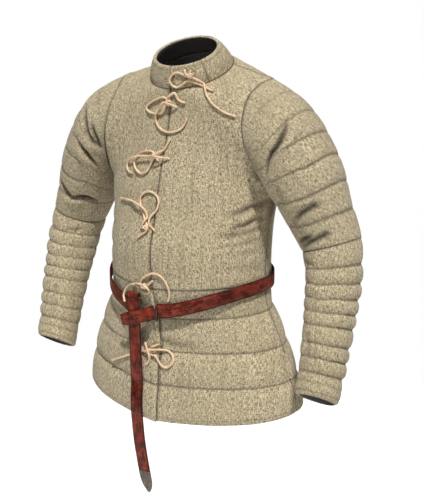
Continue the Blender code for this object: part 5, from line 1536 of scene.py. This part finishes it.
lace = {"diameter": 0.0044, "step": 0.003, "knot": 0.0017}
laceRoutes = {
    "tie_1_bow": (
        (0.041, -0.013, 0.0028), (0.040, -0.019, 0.0038), (0.035, -0.024, 0.0038),
        (0.026, -0.020, 0.0038), (0.016, -0.018, 0.0038), (0.007, -0.023, 0.0038),
        (0.003, -0.032, 0.0038), (0.007, -0.041, 0.0038), (0.017, -0.044, 0.0040),
        (0.027, -0.039, 0.0038), (0.036, -0.032, 0.0038), (0.046, -0.034, 0.0038),
        (0.060, -0.042, 0.0037), (0.074, -0.047, 0.0038), (0.087, -0.051, 0.0038),
    ),
    "tie_1_end": (
        (0.031, -0.012, 0.0028), (0.034, -0.018, 0.0078), (0.038, -0.022, 0.0098),
        (0.047, -0.027, 0.0070), (0.060, -0.036, 0.0088), (0.069, -0.045, 0.0088),
        (0.078, -0.057, 0.0050), (0.091, -0.070, 0.0038), (0.105, -0.079, 0.0037),
        (0.120, -0.086, 0.0037), (0.143, -0.093, 0.0037),
    ),
    "tie_2_bow": (
        (-0.006, -0.079, 0.0028), (-0.003, -0.070, 0.0038), (-0.014, -0.064, 0.0038),
        (-0.034, -0.070, 0.0038), (-0.049, -0.079, 0.0038), (-0.052, -0.087, 0.0038),
        (-0.040, -0.094, 0.0038), (-0.022, -0.094, 0.0038), (-0.010, -0.087, 0.0070),
        (-0.004, -0.077, 0.0094), (0.001, -0.066, 0.0090), (0.0045, -0.0595, 0.0064),
        (0.0085, -0.0555, 0.0048), (0.0130, -0.0555, 0.0042), (0.0160, -0.0600, 0.0040),
        (0.0195, -0.0660, 0.0038), (0.0265, -0.0700, 0.0037), (0.036, -0.072, 0.0037),
    ),
    "tie_2_end": (
        (0.017, -0.081, 0.0028), (0.010, -0.077, 0.0090), (0.002, -0.073, 0.0150),
        (-0.007, -0.074, 0.0152), (-0.018, -0.084, 0.0110), (-0.025, -0.095, 0.0094),
        (-0.028, -0.107, 0.0038), (-0.019, -0.119, 0.0037), (-0.004, -0.126, 0.0037),
        (0.012, -0.127, 0.0037), (0.028, -0.121, 0.0037), (0.038, -0.110, 0.0037),
        (0.041, -0.098, 0.0037),
    ),
    "tie_3_bow": (
        (-0.008, -0.180, 0.0028), (-0.013, -0.173, 0.0038), (-0.024, -0.165, 0.0037),
        (-0.040, -0.165, 0.0037), (-0.058, -0.170, 0.0037), (-0.069, -0.182, 0.0037),
        (-0.067, -0.196, 0.0037), (-0.050, -0.206, 0.0037), (-0.034, -0.203, 0.0037),
        (-0.025, -0.191, 0.0038), (-0.017, -0.178, 0.0086), (-0.010, -0.168, 0.0098),
        (-0.001, -0.160, 0.0050), (0.006, -0.152, 0.0037), (0.012, -0.138, 0.0037),
    ),
    "tie_3_end": (
        (0.016, -0.174, 0.0028), (0.006, -0.173, 0.0080), (-0.004, -0.173, 0.0148),
        (-0.015, -0.172, 0.0154), (-0.028, -0.173, 0.0086), (-0.046, -0.174, 0.0090),
        (-0.062, -0.177, 0.0094), (-0.078, -0.181, 0.0082), (-0.090, -0.190, 0.0038),
        (-0.090, -0.200, 0.0037), (-0.081, -0.207, 0.0037), (-0.070, -0.208, 0.0037),
    ),
    "tie_4_bow": (
        (0.008, -0.306, 0.0028), (0.000, -0.301, 0.0038), (-0.008, -0.294, 0.0038),
        (-0.006, -0.281, 0.0037), (0.005, -0.268, 0.0037), (0.008, -0.253, 0.0037),
        (-0.001, -0.242, 0.0037), (-0.013, -0.236, 0.0037), (-0.028, -0.239, 0.0037),
        (-0.037, -0.250, 0.0037), (-0.033, -0.264, 0.0037), (-0.024, -0.277, 0.0038),
        (-0.015, -0.289, 0.0074), (-0.006, -0.299, 0.0086), (-0.011, -0.308, 0.0050),
        (-0.021, -0.315, 0.0037), (-0.030, -0.321, 0.0037),
    ),
    "tie_4_end": (
        (-0.024, -0.304, 0.0028), (-0.019, -0.296, 0.0090), (-0.012, -0.290, 0.0146),
        (-0.010, -0.282, 0.0096), (-0.014, -0.273, 0.0086), (-0.026, -0.265, 0.0088),
        (-0.043, -0.260, 0.0084), (-0.062, -0.258, 0.0040), (-0.080, -0.258, 0.0037),
        (-0.100, -0.259, 0.0037),
    ),
    "tie_5_bow": (
        (0.006, -0.399, 0.0028), (-0.003, -0.407, 0.0038), (-0.011, -0.415, 0.0038),
        (-0.020, -0.414, 0.0038), (-0.021, -0.403, 0.0037), (-0.010, -0.392, 0.0037),
        (0.009, -0.384, 0.0037), (0.026, -0.388, 0.0037), (0.036, -0.402, 0.0037),
        (0.040, -0.420, 0.0037), (0.035, -0.436, 0.0037),
    ),
    "tie_5_end": (
        (-0.024, -0.424, 0.0028), (-0.014, -0.427, 0.0038), (-0.004, -0.423, 0.0040),
        (-0.003, -0.414, 0.0080), (-0.012, -0.409, 0.0094), (-0.024, -0.408, 0.0090),
        (-0.038, -0.411, 0.0040), (-0.055, -0.418, 0.0037), (-0.067, -0.428, 0.0056),
        (-0.072, -0.440, 0.0105), (-0.067, -0.453, 0.0052),
    ),
    "tie_6_bow": (
        (0.005, -0.529, 0.0028), (-0.004, -0.534, 0.0058), (-0.010, -0.539, 0.0040), (-0.014, -0.545, 0.0038),
        (-0.007, -0.551, 0.0040), (0.003, -0.550, 0.0090), (0.009, -0.559, 0.0060),
        (0.018, -0.568, 0.0037), (0.030, -0.569, 0.0037), (0.041, -0.558, 0.0037),
        (0.037, -0.546, 0.0037), (0.024, -0.539, 0.0037), (0.009, -0.538, 0.0090),
        (-0.004, -0.541, 0.0092), (-0.017, -0.545, 0.0092), (-0.028, -0.549, 0.0040),
        (-0.044, -0.554, 0.0037), (-0.067, -0.564, 0.0037), (-0.091, -0.575, 0.0037),
        (-0.119, -0.588, 0.0037),
    ),
    "tie_6_end": (
        (-0.026, -0.531, 0.0028), (-0.020, -0.537, 0.0070), (-0.013, -0.541, 0.0146),
        (-0.008, -0.547, 0.0142), (-0.007, -0.556, 0.0080), (-0.011, -0.564, 0.0040),
        (-0.017, -0.571, 0.0037),
    ),
}
# middle of each knot: x, z, turn in degrees
knots = ((0.0425, -0.0235, 35.0), (0.003, -0.0735, 10.0), (-0.015, -0.1715, 80.0), (-0.011, -0.3005, 20.0),
         (-0.012, -0.4110, 50.0), (-0.0125, -0.5455, 15.0))


def seatOnFront(tree, x, z, lift):
    if abs(x) < jacket["openingGap"]:
        x = math.copysign(jacket["openingGap"], x)
    place, normal, _, _ = tree.ray_cast(Vector((x, -0.6, z)), Vector((0.0, 1.0, 0.0)))
    if normal.y > 0.0:
        normal = -normal
    return place + Vector((0.0, -1.0, 0.0)).lerp(normal, 0.5).normalized() * lift


def smoothRoute(points, step):
    fine = along(points, np.linspace(0.0, 1.0, 24 * (len(points) - 1) + 1))
    run = np.concatenate([[0.0], np.cumsum(np.linalg.norm(np.diff(fine, axis=0), axis=1))])
    goals = np.linspace(0.0, run[-1], max(3, round(run[-1] / step)) + 1)
    return np.stack([np.interp(goals, run, fine[:, i]) for i in range(3)], 1), run[-1]


def makeLaces():
    tree = treeOf(frontCloth + ("standingCollar", "beltRound"))
    for i, (x, z, turn) in enumerate(knots):
        # an overhand knot drawn tight is a flattened trefoil
        place = seatOnFront(tree, x, z, 0.0078)
        points = []
        for k in range(96):
            t = math.tau * k / 96
            a, b = (2 + math.cos(3 * t)) * math.cos(2 * t), (2 + math.cos(3 * t)) * math.sin(2 * t)
            spin = math.radians(turn)
            across, up = a * math.cos(spin) - b * 0.8 * math.sin(spin), a * math.sin(spin) + b * 0.8 * math.cos(spin)
            points.append(place + Vector((across, -1.25 * math.sin(3 * t), up)) * lace["knot"])
        vertices, faces = tubeMesh(points, lace["diameter"] * 0.46, 10, True)
        addPiece("tieKnot_%d" % (i + 1), vertices, faces, laceLeather)
    eyeVertices, eyeFaces = [], []
    for name, route in laceRoutes.items():
        seated = [tuple(seatOnFront(tree, x, z, lift)) for x, z, lift in route]
        points, length = smoothRoute(seated, lace["step"])
        curve = bpy.data.curves.new(name, "CURVE")
        curve.dimensions = "3D"
        curve.bevel_depth = lace["diameter"] / 2
        curve.bevel_resolution = 3
        curve.use_fill_caps = True
        line = curve.splines.new("POLY")
        line.points.add(len(points) - 1)
        for k, point in enumerate(points):
            line.points[k].co = (*point, 1.0)
            line.points[k].radius = 1.0 - 0.10 * float(unevenness(k / 2.3, len(name) * 1.7, 3))
        line.use_smooth = True
        curve.materials.append(laceLeather)
        first, second, _ = name.split("_")
        piece = bpy.data.objects.new("lace%s_%s" % (second, name.split("_")[2]), curve)
        bpy.context.scene.collection.objects.link(piece)
        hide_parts(name)
        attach(piece, "root")
        # stitched eyelet round the lace's start
        x, z = route[0][:2]
        rings = [tuple(seatOnFront(tree, x + 0.0036 * math.cos(math.tau * k / 28),
                                   z + 0.0036 * math.sin(math.tau * k / 28), 0.0002)) for k in range(28)]
        vertices, faces = tubeMesh(rings, 0.0009, 8, True)
        base = len(eyeVertices)
        eyeVertices += vertices
        eyeFaces += [tuple(base + n for n in face) for face in faces]
    addPiece("tieEyelets", eyeVertices, eyeFaces, sewingThread)


makeLaces()
print("laces tied")

# Stage: pale floor, soft studio lights

studio = {
    "floorZ": -2.2, "floorRadius": 4.2, "floorCorners": 96, "floorGlow": 0.25,
    "world": (1.0, 1.0, 1.0), "worldStrength": 0.07, "backdrop": 1.0,
    # round from the front towards the wearer's left, up, softness, strength, colour
    "suns": ((40.0, 60.0, 4.5, 3.5, (1.0, 0.985, 0.955)),
             (10.0, 30.0, 30.0, 0.45, (0.98, 0.985, 1.0)),
             (140.0, 50.0, 40.0, 0.22, (1.0, 0.98, 0.95))),
}


def makeStage():
    mesh = bpy.data.meshes.new("studioFloor")
    radius, corners = studio["floorRadius"], studio["floorCorners"]
    turns = [math.tau * k / corners for k in range(corners)]
    rim = [(radius * math.cos(turn), radius * math.sin(turn), 0.0) for turn in turns]
    mesh.from_pydata(rim, [], [tuple(range(corners))])
    material, tree, shader = newMaterial("paleFloor", 0.9)
    grain = noiseOf(tree, placeOf(tree), 3.0, 2.0)
    tree.links.new(mixed(tree, grain, (0.90, 0.90, 0.90, 1.0), (0.93, 0.93, 0.93, 1.0)), shader.inputs["Base Color"])
    shader.inputs["Emission Color"].default_value = (1.0, 1.0, 1.0, 1.0)
    shader.inputs["Emission Strength"].default_value = studio["floorGlow"]
    mesh.materials.append(material)
    floor = bpy.data.objects.new("studioFloor", mesh)
    floor.location = (0.0, 0.0, studio["floorZ"])
    bpy.context.scene.collection.objects.link(floor)
    world = bpy.data.worlds.new("studioWorld")
    world.use_nodes = True
    tree = world.node_tree
    sky = tree.nodes["Background"]
    sky.inputs["Color"].default_value = (*studio["world"], 1.0)
    seen = tree.nodes.new("ShaderNodeLightPath").outputs["Is Camera Ray"]      # the backdrop looks paler than it lights
    tree.links.new(spread(tree, seen, 0.0, 1.0, studio["worldStrength"], studio["backdrop"]), sky.inputs["Strength"])
    bpy.context.scene.world = world
    for azimuth, elevation, softness, strength, colour in studio["suns"]:
        az, el = math.radians(azimuth), math.radians(elevation)
        data = bpy.data.lights.new("softSun", "SUN")
        data.angle = math.radians(softness)
        data.energy = strength
        data.color = colour
        lamp = bpy.data.objects.new("softSun", data)
        towards = Vector((math.sin(az) * math.cos(el), -math.cos(az) * math.cos(el), math.sin(el)))
        lamp.rotation_euler = towards.to_track_quat("Z", "Y").to_euler()
        bpy.context.scene.collection.objects.link(lamp)


makeStage()
print("stage set")
